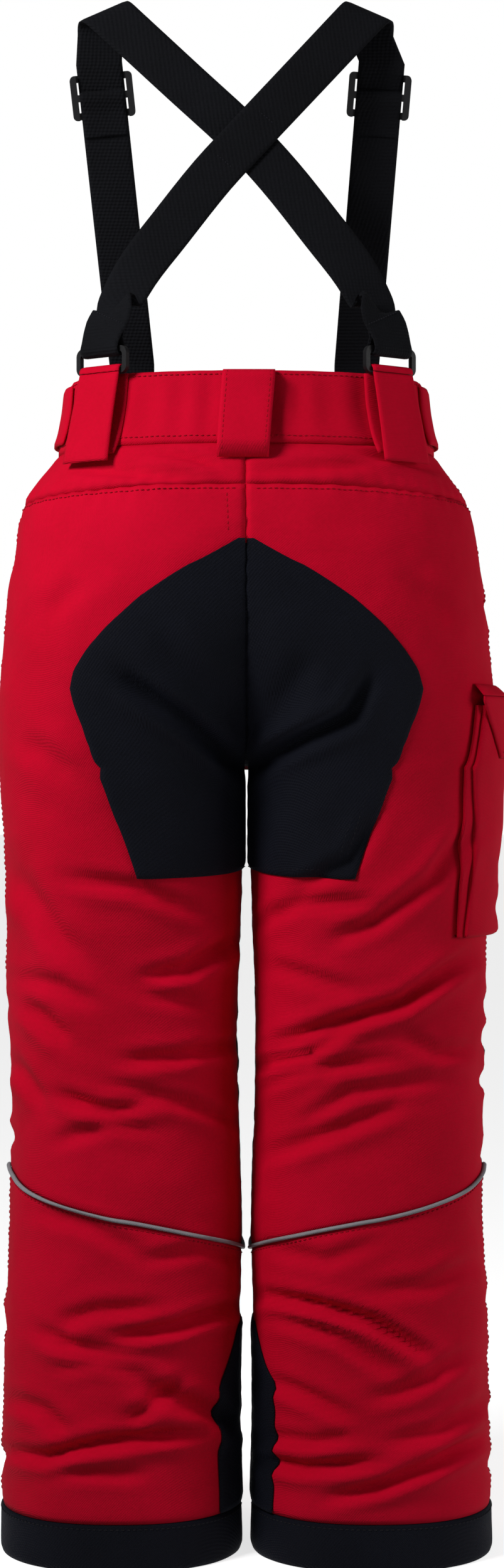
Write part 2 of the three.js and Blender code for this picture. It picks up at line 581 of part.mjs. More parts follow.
function rearTab(side, name) {
  const frame = ringFrame(side);
  // The base leaf follows the band, then turns over the ring's bar and stops just past it.
  const base = (s, t, lift) => {
    const k = side * (TAB_K + (s - 0.5) * TAB_WIDTH * perMm(TAB_K));
    return waist(k, lerp(WAIST_Z - 1, TAB_BOTTOM_Z + 4, t), lift);
  };
  add(hips, `rear_tab_base_${name}`,
    sheet(base, { outer: BAND_PROUD + LAYER_GAP + FOLD_CLOTH, inner: BAND_PROUD + LAYER_GAP, cols: 4, rows: 4 }), RED_SHELL);
  const fold = roundBar(frame, 0, FOLD_RADIUS, Math.PI, 0, 10);
  const up = inFrame(frame, -FOLD_RADIUS, -BAR_ABOVE_WAIST + TOUCH - 0.2);
  const stations = [{ p: up, n: frame.normal.clone().multiplyScalar(-1) }, ...fold];
  add(hips, `rear_tab_fold_${name}`, clothRibbon(stations, FOLD_CLOTH, TAB_WIDTH), RED_SHELL);

  // The outer leaf hangs from the fold and peels off, up about its top edge.
  const leaf = new THREE.Group();
  leaf.name = `rear_tab_leaf_${name}_pivot`;
  leaf.position.copy(inFrame(frame, FOLD_RADIUS, -BAR_ABOVE_WAIST));
  hips.add(leaf);
  const start = WAIST_Z;
  const leafTop = (x) =>
    inFrame(frame, FOLD_RADIUS - FOLD_CLOTH / 2, start - WAIST_Z - BAR_ABOVE_WAIST).addScaledVector(frame.across, side * x);
  const leafAt = (s, t, lift) => {
    const z = lerp(start, TAB_BOTTOM_Z, t);
    const x = (s - 0.5) * (TAB_WIDTH - 1);
    const hung = leafTop(x);
    // It hangs straight from the fold to its foot, where it lies on the band.
    const foot = waist(side * (TAB_K + x * perMm(TAB_K)), TAB_BOTTOM_Z, LEAF_FOOT_LIFT);
    const p = hung.addScaledVector(foot.sub(leafTop(x)), t);
    p.z = z;
    return p.addScaledVector(frame.normal, lift).sub(leaf.position);
  };
  add(leaf, `rear_tab_leaf_${name}`, sheet(leafAt, { outer: FOLD_CLOTH, inner: 0, cols: 4, rows: 8 }), RED_SHELL);

  // The ring turns about its lower bar inside the fold.
  const ring = frameAt(frame.origin, frame.normal, new THREE.Vector3(0, 0, 1));
  ring.name = `ring_${name}_pivot`;
  hips.add(ring);
  const height = RING_PITCH + RING_BAR;
  const window = [0, 0, RING_WIDTH - 2 * RING_BAR, RING_PITCH - RING_BAR, 2.5];
  const body = plate(RING_WIDTH, height, 5, RING_BAR, [window]).translate(0, 0, RING_PITCH / 2);
  add(ring, `ring_${name}`, body, BLACK_PLASTIC);
}

for (const [name, side] of SIDES) rearTab(side, name);

// ---------------------------------------------------------------- braces

const SHOULDER = {
  // Across at the fold's axis, at the top and foot of the front run, and the angle at which the strap crosses the fold.
  right: { x: 80, frontX: 91, footX: 75, turn: 0.34 },
  left: { x: 93.5, frontX: 99, footX: 78, turn: 0.4 },
};
const SHOULDER_RISE = 243; // of the fold's axis above the waist
const FOLD_TILT = 0.41; // of the shoulder fold, in radians
const CROSSING_RISE = 160; // of the crossing behind, above the waist
const WRAP_BACK = 1.403; // how far round the fold the strap turns behind, and in front, in radians
const WRAP_FRONT = 1.25;
const FOLD_HALF = 17; // of the strap's length that the fold takes up
const BACK_LEAN = 0.17; // how fast the braces move back as they go down behind
const FOOT_Z = WAIST_Z - 30;
// The way up behind, from the ring to the crossing: distances across and above the waist.
const BACK_ROUTE = [[83.5, 47], [71, 70], [49, 100], [23, 134]];
const LOOP_CLEAR = RING_BAR / 2 + RING_SLACK + WEB / 2;

const backY = (z) => -SHOULDER_ROLL - BACK_LEAN * (WAIST_Z + SHOULDER_RISE + 1 - z);
const backNormal = new THREE.Vector3(0, -1, BACK_LEAN).normalize();

// The straight front run: from its top, below the shoulder, to just above the waistband.
function frontRun(side, name) {
  const { frontX, footX } = SHOULDER[name];
  const top = new THREE.Vector3(side * frontX, SHOULDER_ROLL + 2.5, WAIST_Z + 218);
  const end = new THREE.Vector3(side * (footX + 1.5), 74, WAIST_Z + 24);
  const along = end.clone().sub(top).normalize();
  const normal = new THREE.Vector3(0, 1, 0).addScaledVector(along, -along.y).normalize();
  return { top, end, along, normal };
}

// The strap's fold over a shoulder, as flat webbing rolled round a tilted axis: u is along the strap, from behind to
// in front, and v across it.
function shoulderFold(side, name) {
  const { x, turn } = SHOULDER[name];
  const axis = new THREE.Vector3(-side * Math.cos(FOLD_TILT), 0, Math.sin(FOLD_TILT));
  const rise = new THREE.Vector3(side * Math.sin(FOLD_TILT), 0, Math.cos(FOLD_TILT));
  const ahead = new THREE.Vector3(0, 1, 0);
  const centre = new THREE.Vector3(side * x, 0, WAIST_Z + SHOULDER_RISE);
  return (u, v, lift) => {
    const sign = -side * v;
    const round = u * Math.cos(turn) + sign * Math.sin(turn);
    const along = -u * Math.sin(turn) + sign * Math.cos(turn);
    const angle = clamp(round / SHOULDER_ROLL, -WRAP_BACK, WRAP_FRONT);
    const n = rise.clone().multiplyScalar(Math.cos(angle)).addScaledVector(ahead, Math.sin(angle));
    const onward = rise.clone().multiplyScalar(-Math.sin(angle)).addScaledVector(ahead, Math.cos(angle));
    return centre.clone().addScaledVector(n, SHOULDER_ROLL + lift)
      .addScaledVector(onward, round - angle * SHOULDER_ROLL).addScaledVector(axis, along);
  };
}

// The strap over one shoulder, from its sewn loop on the far ring to its foot on the front waistband.
function braceStations(side, name) {
  const far = -side;
  const frame = ringFrame(far);
  const barZ = RING_PITCH;
  const ply = WEB / 2 + TOUCH / 2 + 0.1;
  // Above the ring the strap leans in towards the crossing.
  const leant = (y, up, inwards) => {
    const p = inFrame(frame, y, barZ + up);
    p.x -= far * inwards;
    return p;
  };
  const inner = frame.normal.clone().multiplyScalar(-1);
  const stations = [
    { p: leant(-ply - 0.2, 24, 7), n: inner },
    { p: leant(-ply - 0.4, 14, 1.6), n: inner },
    { p: leant(-ply - 0.5, 8, 0), n: inner },
    ...roundBar(frame, barZ, LOOP_CLEAR, Math.PI * 0.93, Math.PI * 2.07, 10),
    { p: leant(ply + 0.5, 8, 0), n: frame.normal.clone() },
    { p: leant(ply + 0.4, 14, 1.6), n: frame.normal.clone() },
    { p: leant(ply, 24, 7), n: frame.normal.clone() },
  ];
  // Up the back, on one leaning plane near the crossing; the strap over the right shoulder lies outside.
  const off = side * (WEB / 2 + LAYER_GAP / 2);
  const onBack = (x, rise) => new THREE.Vector3(x, backY(WAIST_Z + rise), WAIST_Z + rise).addScaledVector(backNormal, off);
  const lower = BACK_ROUTE.map(([x, rise]) => onBack(far * x, rise));
  const crossing = onBack(0, CROSSING_RISE);
  const fold = shoulderFold(side, name);
  const high = fold(-FOLD_HALF, 0, 0);
  const cross = [...lower, crossing, crossing.clone().lerp(high, 0.5), high];
  const start = stations[stations.length - 1].p;
  const before = stations[stations.length - 2].p;
  const curve = new THREE.CatmullRomCurve3([before, start, ...cross], false, 'centripetal');
  const foldNormal = fold(-FOLD_HALF, 0, 1).sub(high);
  const count = 26;
  const first = 1 / (cross.length + 1);
  for (let i = 0; i < count - 1; i++) {
    const p = curve.getPoint(lerp(first, 1, (i + 1) / count));
    const n = frame.normal.clone().lerp(backNormal, clamp((i + 1) / 10, 0, 1));
    n.lerp(foldNormal, clamp((p.z - crossing.z) / (high.z - crossing.z), 0, 1)).normalize();
    stations.push({ p, n });
  }
  for (let i = 0; i <= 14; i++) {
    const u = lerp(-FOLD_HALF, FOLD_HALF, i / 14);
    stations.push({ p: fold(u, 0, 0), n: fold(u, 0, 1).sub(fold(u, 0, 0)), edge: (v, lift) => fold(u, v, lift) });
  }
  const { top, end, normal } = frontRun(side, name);
  for (let i = 0; i <= 6; i++) stations.push({ p: top.clone().lerp(end, i / 6), n: normal });
  const k = footK(side, name);
  const band = (height) => waist(k, height, BAND_PROUD + LAYER_GAP + WEB / 2);
  const bandNormal = lobeNormal((Math.abs(k) - 1) * seamAngle(WAIST_Z, 0), WAIST_Z);
  bandNormal.x *= side;
  const settle = (t) => normal.clone().lerp(bandNormal, t).normalize();
  stations.push({ p: band(WAIST_Z + 8).lerp(end.clone().setZ(WAIST_Z + 8), 0.3), n: settle(0.7) });
  for (const height of [WAIST_Z - 2, WAIST_Z - 14, FOOT_Z]) stations.push({ p: band(height), n: settle(1) });
  return stations;
}

// Where round the waist a front run comes down.
function footK(side, name) {
  const { half } = lobe(WAIST_Z);
  const share = SHOULDER[name].footX / half;
  const angle = Math.acos(share ** (SQUARENESS / 2));
  return side * (1 + angle / seamAngle(WAIST_Z, 0));
}

// The slider's outer bars lie in front of the strap and its middle bar behind it.
function slider(side, name) {
  const { top, along, normal } = frontRun(side, name);
  const frame = frameAt(top.clone().addScaledVector(along, SLIDER_BELOW_TOP), normal, along.clone().negate());
  frame.name = `slider_${name}_pivot`;
  braces.add(frame);
  const off = WEB / 2 + TOUCH + 0.1 + SLIDER_THICK / 2;
  const height = 2 * SLIDER_PITCH + SLIDER_BAR;
  const inside = WEB_WIDTH + 2 * SLIDER_SIDE_ROOM;
  const depth = 2 * off + SLIDER_THICK;
  const outer = plate(SLIDER_WIDTH, height, 3, depth, []);
  const hollow = (z, high, y, deep) => new THREE.BoxGeometry(inside, deep, high).translate(0, y, z);
  const clear = depth - SLIDER_THICK;
  const body = cutFrom(outer,
    hollow(0, height + 2, -SLIDER_THICK / 2 - 0.01, clear - SLIDER_THICK).translate(0, SLIDER_THICK / 2 + 0.01, 0),
    hollow(SLIDER_PITCH, 3 * SLIDER_BAR, -SLIDER_THICK, depth),
    hollow(-SLIDER_PITCH, 3 * SLIDER_BAR, -SLIDER_THICK, depth),
    hollow(0, SLIDER_BAR + 3, SLIDER_THICK, depth),
    hollow(SLIDER_PITCH / 2, SLIDER_PITCH - SLIDER_BAR, 0, depth + 2),
    hollow(-SLIDER_PITCH / 2, SLIDER_PITCH - SLIDER_BAR, 0, depth + 2));
  add(frame, `slider_${name}`, body, BLACK_PLASTIC);
}

for (const [name, side] of SIDES) {
  add(braces, `brace_${name}`, ribbon(braceStations(side, name)), BLACK_WEBBING);
  slider(side, name);
  const k = footK(side, name);
  const at = (s, t, lift) => waist(k + (s - 0.5) * TAB_WIDTH * perMm(k), lerp(WAIST_Z - 6, FOOT_Z - 6, t), lift);
  const outer = BAND_PROUD + 2 * LAYER_GAP + WEB + 1.5;
  add(hips, `front_tab_${name}`, sheet(at, { outer: outer + 1.6, inner: outer, cols: 4, rows: 3 }), RED_SHELL);
}

// ---------------------------------------------------------------- cargo pocket

const POCKET_PSI = [-0.275, 0.33];
const POCKET_LIFT = LAYER_GAP;

// The bag is open to the leg and at its top.
function cargoPocket() {
  const [back, front] = POCKET_PSI;
  const full = { from: back, to: front, top: POCKET_TOP_Z, bottom: POCKET_BOTTOM_Z, cols: 8, rows: 6 };
  const bag = cutFrom(
    panel(RIGHT, { ...full, outer: POCKET_LIFT + POCKET_DEPTH, inner: POCKET_LIFT }),
    panel(RIGHT, { ...full, from: back + 0.016, to: front - 0.016, top: POCKET_TOP_Z + 4,
      bottom: POCKET_BOTTOM_Z + POCKET_WALL + 0.4, outer: POCKET_LIFT + POCKET_DEPTH - POCKET_WALL, inner: -4 }));
  add(hips, 'cargo_pocket', bag, RED_SHELL);

  // The flap's base is sewn to the leg and reaches out over the bag.
  const over = POCKET_LIFT + POCKET_DEPTH + LAYER_GAP + TOUCH;
  const across = { from: back - 0.012, to: front + 0.012, cols: 8 };
  const reach = (s, t) => lerp(POCKET_LIFT, over, t);
  add(hips, 'cargo_flap_base',
    panel(RIGHT, { ...across, top: FLAP_TOP_Z, bottom: FLAP_HINGE_Z + SEAM, rows: 2,
      outer: (s, t) => reach(s, t) + FLAP_CLOTH, inner: reach }), RED_SHELL);

  // The flap hangs from its base and lifts about that fold, at its outermost line, so that nothing rises into the base.
  const hinge = skin(RIGHT, 0, FLAP_HINGE_Z, over + FLAP_CLOTH);
  const flap = new THREE.Group();
  flap.name = 'cargo_flap_pivot';
  flap.position.copy(hinge);
  hips.add(flap);
  const bottom = FLAP_TOP_Z - FLAP_LENGTH;
  const hung = panel(RIGHT, { ...across, top: FLAP_HINGE_Z, bottom, rows: 5, outer: over + FLAP_CLOTH, inner: over });
  add(flap, 'cargo_flap', hung.translate(-hinge.x, -hinge.y, -hinge.z), RED_SHELL);
}
cargoPocket();

// ---------------------------------------------------------------- zips and front fastening

// A straight zip in a frame with Z up the zip and Y outwards: the tape with its chain, a slider and its puller.
function zip(frame, name, length, tapeWidth, sliderHeight) {
  const chain = ZIP_CHAIN_WIDTH;
  const tape = new THREE.Shape();
  tape.moveTo(-tapeWidth / 2, 0);
  tape.lineTo(-tapeWidth / 2, 1);
  tape.lineTo(-chain / 2, 1);
  tape.lineTo(-chain / 2, 2.2);
  tape.lineTo(chain / 2, 2.2);
  tape.lineTo(chain / 2, 1);
  tape.lineTo(tapeWidth / 2, 1);
  tape.lineTo(tapeWidth / 2, 0);
  const strip = new THREE.ExtrudeGeometry(tape, { depth: length, bevelEnabled: false });
  add(frame, `${name}_zip`, strip.translate(0, 0, -length), DARK_LINING);

  const slide = new THREE.Group();
  slide.name = `${name}_zip_slider_pivot`;
  slide.position.set(0, 2.2 + TOUCH, -sliderHeight / 2 - 3);
  frame.add(slide);
  const width = ZIP_CHAIN_WIDTH + 1.6;
  const body = new THREE.BoxGeometry(width, 1.6, sliderHeight).translate(0, 0.8, 0);
  const bridge = new THREE.BoxGeometry(2.4, 3.4, 5).translate(0, 2.2, 1);
  const eye = new THREE.BoxGeometry(4, 1.6, 2.2).translate(0, 2.5, 1);
  const whole = geometryOf(solidOf(body).add(solidOf(bridge)).subtract(solidOf(eye)));
  add(slide, `${name}_zip_slider`, whole, ZIP_METAL);

  const pull = new THREE.Group();
  pull.name = `${name}_zip_puller_pivot`;
  pull.position.set(0, 2.5, 1);
  slide.add(pull);
  const outline = roundedRectangle(new THREE.Shape(), 0, -9.7, 5.6, 20.4, 0.4);
  outline.holes.push(roundedRectangle(new THREE.Path(), 0, -1.9, 3.2, 2.8, 0.3));
  const handle = new THREE.ExtrudeGeometry(outline, { depth: 1, bevelEnabled: false, curveSegments: 3 });
  add(pull, `${name}_zip_puller`, handle.rotateX(Math.PI / 2).translate(0, 0.5, 0), ZIP_METAL);
}

// The fly zip is straight: it lies behind the edges of the front panels.
function flyZip() {
  const depth = CLOTH + TOUCH + 2.4;
  const top = waist(2, BAND_BOTTOM_Z - 3, -depth);
  const foot = waist(2, FLY_BOTTOM_Z + 6, -depth);
  top.x = foot.x = 0;
  const up = top.clone().sub(foot);
  const outward = new THREE.Vector3(0, up.z, -up.y);
  const frame = frameAt(top, outward, up.clone().normalize());
  hips.add(frame);
  zip(frame, 'fly', up.length(), ZIP_TAPE_WIDTH, 9);
}
flyZip();

// A hand pocket's zip, slanted down and out on the front panel of one side.
function handZip(side, name) {
  const top = skin(side, 0.62, BAND_BOTTOM_Z - 8, 0);
  const foot = skin(side, 0.36, BAND_BOTTOM_Z - 8 - HAND_ZIP_LENGTH, 0);
  const up = top.clone().sub(foot).normalize();
  const middle = skin(side, 0.49, BAND_BOTTOM_Z - 8 - HAND_ZIP_LENGTH / 2, 0);
  const normal = lobeNormal(0.49 * seamAngle(middle.z, 0), middle.z);
  normal.x *= side;
  const outward = normal.addScaledVector(up, -normal.dot(up)).normalize();
  const stand = middle.clone().sub(foot).dot(outward) + 0.5;
  const frame = frameAt(top.addScaledVector(outward, stand), outward, up);
  hips.add(frame);
  zip(frame, `hand_pocket_${name}`, HAND_ZIP_LENGTH, 12, 8);
}
for (const [name, side] of SIDES) handZip(side, name);

// The band closes with a tab that is sewn on the left half and snaps onto the right one.
function waistClosure() {
  const [k0, k1] = [-1.91, 1.85];
  const lift = BAND_PROUD + LAYER_GAP;
  const closed = (s) => {
    const turn = lerp(0, 4 - Math.abs(k0) - k1, s);
    const k = Math.abs(k0) + turn;
    return k < 2 ? -k : 4 - k;
  };
  const pivot = waist(k0, BAND_BOTTOM_Z + BAND_HEIGHT / 2, lift);
  const group = new THREE.Group();
  group.name = 'closure_tab_pivot';
  group.position.copy(pivot);
  hips.add(group);
  const at = (s, t, l) => waist(closed(s), lerp(WAIST_Z - 8, BAND_BOTTOM_Z + 8, t), l).sub(pivot);
  const tab = sheet(at, { outer: lift + 2, inner: lift, cols: 6, rows: 2 });
  add(group, 'closure_tab', tab, RED_SHELL);
  const seatZ = BAND_BOTTOM_Z + BAND_HEIGHT / 2;
  const seat = waist(1.93, seatZ, lift + 4).sub(pivot);
  const cap = frameAt(seat, lobeNormal(0.93 * seamAngle(seatZ, 0), seatZ), new THREE.Vector3(0, 0, 1));
  group.add(cap);
  add(cap, 'snap_cap', new THREE.CylinderGeometry(SNAP_RADIUS - 1, SNAP_RADIUS, 2, 20), BLACK_PLASTIC);
}
waistClosure();

export default model;
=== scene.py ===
"""A child's padded ski trousers with crossed braces, seen from behind, on a pale floor."""
import math

import bpy
import numpy as np
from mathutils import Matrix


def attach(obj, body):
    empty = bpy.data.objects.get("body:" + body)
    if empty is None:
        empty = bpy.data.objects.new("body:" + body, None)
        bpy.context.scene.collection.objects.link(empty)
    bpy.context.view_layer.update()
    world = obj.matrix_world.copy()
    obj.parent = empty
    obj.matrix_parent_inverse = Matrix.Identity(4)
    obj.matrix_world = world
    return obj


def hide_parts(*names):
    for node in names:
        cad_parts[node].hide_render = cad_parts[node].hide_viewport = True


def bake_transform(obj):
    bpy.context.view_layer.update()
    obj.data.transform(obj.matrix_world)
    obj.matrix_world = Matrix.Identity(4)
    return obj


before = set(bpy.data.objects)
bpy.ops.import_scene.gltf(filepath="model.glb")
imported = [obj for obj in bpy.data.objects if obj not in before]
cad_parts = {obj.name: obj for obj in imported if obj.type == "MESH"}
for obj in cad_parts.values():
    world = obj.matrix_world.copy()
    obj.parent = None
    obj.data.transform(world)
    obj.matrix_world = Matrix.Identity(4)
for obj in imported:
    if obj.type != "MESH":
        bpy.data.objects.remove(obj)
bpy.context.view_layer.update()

MM = 0.001
SIDES = (("left", -1), ("right", 1))

# ---------------------------------------------------------------- camera
CAM_BACK, CAM_Z = 2.0, 0.509
camera = bpy.data.objects.new("camera", bpy.data.cameras.new("camera"))
bpy.context.collection.objects.link(camera)
camera.location = (0.0038, -CAM_BACK, CAM_Z)
camera.rotation_euler = (math.pi / 2, 0, 0)
camera.data.sensor_width = 36
camera.data.lens = 68.6
bpy.context.scene.camera = camera

# ---------------------------------------------------------------- the skin, in millimetres, as in the CAD
WAIST_Z, BAND_Z, YOKE_Z, YOKE_DROP = 776, 728, 700.5, 8
CROTCH_Z, FLY_Z, LINING_FOOT_Z = 518, 616, 383
KNEE_TOP_Z, PIPING_Z, PIPING_DROP = 376, 254, 56
GUARD_TOP_Z, GAITER_TOP_Z, HEM_Z = 152, 190, 30
BAND = 1.0  # how far the waistband stands out
LAYER = 0.9  # gap between a panel and what is sewn flat on it
SHELL = 3.0  # thickness of the padded shell
LINING_GAP = 4.4  # between the shell and what hangs inside it
SECTIONS = np.array([
    # z, half width, back, front, half gap
    (0, 164, 79, 75, 3), (110, 162, 76, 72, 5.5), (215, 158, 74, 73, 3), (300, 158, 73, 80, 5.5),
    (358, 160, 75, 81, 6), (442, 161, 83, 84, 2.8), (518, 165, 94, 90, 2.6), (600, 163, 112, 98, 2.6),
    (652, 156, 113, 99, 2.6), (696, 147, 107, 96, 2.6), (728, 126, 96, 89, 2.6), (752, 119, 86, 81, 2.6),
    (776, 117, 80, 77, 2.6)], float)
SQUARE = 2.25
CENTRE_Y = 7


def sized(col, z):
    """A size at height z on the smooth curve through the sections."""
    zs, v = SECTIONS[:, 0], SECTIONS[:, col]
    last = len(zs) - 1
    i = np.clip(np.searchsorted(zs, z, side="right") - 1, 0, last - 1)
    lo, hi = np.maximum(np.arange(last + 1) - 1, 0), np.minimum(np.arange(last + 1) + 1, last)
    slope = (v[hi] - v[lo]) / (zs[hi] - zs[lo])
    span = zs[i + 1] - zs[i]
    t = np.clip((z - zs[i]) / span, 0, 1)
    return ((2 * t**3 - 3 * t**2 + 1) * v[i] + (t**3 - 2 * t**2 + t) * span * slope[i]
            + (3 * t**2 - 2 * t**3) * v[i + 1] + (t**3 - t**2) * span * slope[i + 1])


def lobe(z):
    wide, gap = sized(1, z), sized(4, z)
    rise = np.clip((z - CROTCH_Z) / (WAIST_Z - CROTCH_Z), 0, 1)
    eased = rise * rise * 1.1 / (rise + 0.1)
    centre = (wide + gap) / 2 * (1 - eased) ** 1.4
    return centre, wide - centre, sized(2, z), sized(3, z)


def rounded(v):
    return np.sign(v) * np.abs(v) ** (2 / SQUARE)


def lobe_point(a, z):
    centre, half, back, front = lobe(z)
    s = rounded(np.sin(a))
    return np.stack([centre + half * rounded(np.cos(a)), CENTRE_Y + s * np.where(s > 0, front, back), z + 0 * a], -1)


def unit(v):
    return v / np.maximum(np.linalg.norm(v, axis=-1, keepdims=True), 1e-9)


def lobe_normal(a, z):
    across = lobe_point(a + 0.02, z) - lobe_point(a - 0.02, z)
    return unit(np.cross(across, lobe_point(a, z + 1) - lobe_point(a, z - 1)))


def seam_angle(z, cut):
    centre, half, *_ = lobe(z)
    share = np.clip((cut - centre) / half, -1, 1)
    return np.arccos(np.sign(share) * np.abs(share) ** (SQUARE / 2))


def mix(a, b, t):
    return a + (b - a) * t


def yoke_z(psi):
    return YOKE_Z - YOKE_DROP * (1 - np.minimum(np.abs(psi), 1)) ** 2


def smooth(t):
    t = np.clip(t, 0, 1)
    return t * t * (3 - 2 * t)


def cut_at(psi, z):
    gap = sized(4, z)
    back = mix(0.25, gap, np.clip((CROTCH_Z + 30 - z) / 30, 0, 1))
    below = np.clip((FLY_Z - z) / 20, 0, 1)
    front = mix(mix(3.6, 0.5, below), gap, np.clip((CROTCH_Z + 50 - z) / 50, 0, 1))
    return np.where(psi > 0, front, back)


def skin(side, psi, z, lift=0.0, drape=True):
    """Points of one leg's skin: psi is 0 at the side seam, 1 at the front inseam and -1 at the back one."""
    psi, z, lift = np.broadcast_arrays(np.asarray(psi, float), np.asarray(z, float), np.asarray(lift, float))
    a = psi * seam_angle(z, cut_at(psi, z))
    if drape:
        lift = lift + folds(side, psi, z)
    p = lobe_point(a, z) + lobe_normal(a, z) * lift[..., None]
    p[..., 0] = side * np.maximum(p[..., 0], 0.3)
    return p


def k_across(x, z):
    """The k behind at which the waist is so far across from the centre."""
    return np.sign(x) * (1 - seam_angle(z, np.abs(x)) / seam_angle(z, 0.0))


def waist(k, z, lift=0.0):
    """Points round the waist: k is 0 at the centre back, 1 at the right side and 2 at the centre front."""
    k, z, lift = np.broadcast_arrays(np.asarray(k, float), np.asarray(z, float), np.asarray(lift, float))
    a = (np.abs(k) - 1) * seam_angle(z, 0.0)
    p = lobe_point(a, z) + lobe_normal(a, z) * lift[..., None]
    p[..., 0] = np.where(k < 0, -p[..., 0], p[..., 0])
    return p


# ---------------------------------------------------------------- folds
# Displacements of the skin, on a grid of psi by z for each side.
NPSI, NZ = 241, 261
PSI = np.linspace(-1.2, 1.2, NPSI)
ZED = np.linspace(0, WAIST_Z, NZ)
FIELD = {}
GIRTH = 250  # from side seam to inseam, in millimetres
CREASE_DEPTH = 1.9  # millimetres for each unit of the drawn depths
DEEPEST, HIGHEST = -9, 5.5
DRAWN_CENTRE = 392.5  # x of the centre line in the fold drawings


def folds(side, psi, z):
    grid = FIELD[side]
    # Past the inseam the skin carries on round the other side.
    x = np.clip((np.clip(psi, -1.2, 1.2) + 1.2) / 2.4 * (NPSI - 1), 0, NPSI - 1.001)
    y = np.clip(z / WAIST_Z * (NZ - 1), 0, NZ - 1.001)
    i, j = x.astype(int), y.astype(int)
    u, v = x - i, y - j
    return ((1 - u) * (1 - v) * grid[i, j] + u * (1 - v) * grid[i + 1, j]
            + (1 - u) * v * grid[i, j + 1] + u * v * grid[i + 1, j + 1])


def to_picture(p):
    """Where a point shows from the camera, on the fold drawings' own scale of 0.42 mm."""
    back, eye = CAM_BACK / MM, CAM_Z / MM
    far = back / (back + p[..., 1])
    return DRAWN_CENTRE + p[..., 0] * far / 0.42, (1034 - (eye + (p[..., 2] - eye) * far)) / 0.42


def crease(q, points, width, depth, skew=1.0):
    """A valley along a polyline with a soft ridge beside it; q is (x, y) in drawing units."""
    points = np.asarray(points, float)
    best = np.full(q[0].shape, 1e9)
    signed = np.zeros(q[0].shape)
    along = np.zeros(q[0].shape)
    lengths = np.linalg.norm(np.diff(points, axis=0), axis=1)
    total, run = lengths.sum(), 0.0
    for (x0, y0), (x1, y1), length in zip(points[:-1], points[1:], lengths):
        dx, dy = (x1 - x0) / length, (y1 - y0) / length
        t = (q[0] - x0) * dx + (q[1] - y0) * dy
        side = (q[0] - x0) * -dy + (q[1] - y0) * dx
        over = np.maximum(0, np.maximum(-t, t - length))
        d = np.hypot(side, over)
        near = d < best
        best = np.where(near, d, best)
        signed = np.where(near, side, signed)
        along = np.where(near, (run + np.clip(t, 0, length)) / total, along)
        run += length
    end = np.clip(np.minimum(along, 1 - along) * 4, 0, 1) ** 0.6
    fade = np.exp(-np.maximum(0, best - np.abs(signed)) ** 2 / (width * width)) * (0.25 + 0.75 * end)
    s = signed / width
    ridges = 0.55 * np.exp(-((s - 1.7 * skew) ** 2)) + 0.3 * np.exp(-((s + 1.7 * skew) ** 2))
    return CREASE_DEPTH * depth * fade * (ridges - np.exp(-s * s))


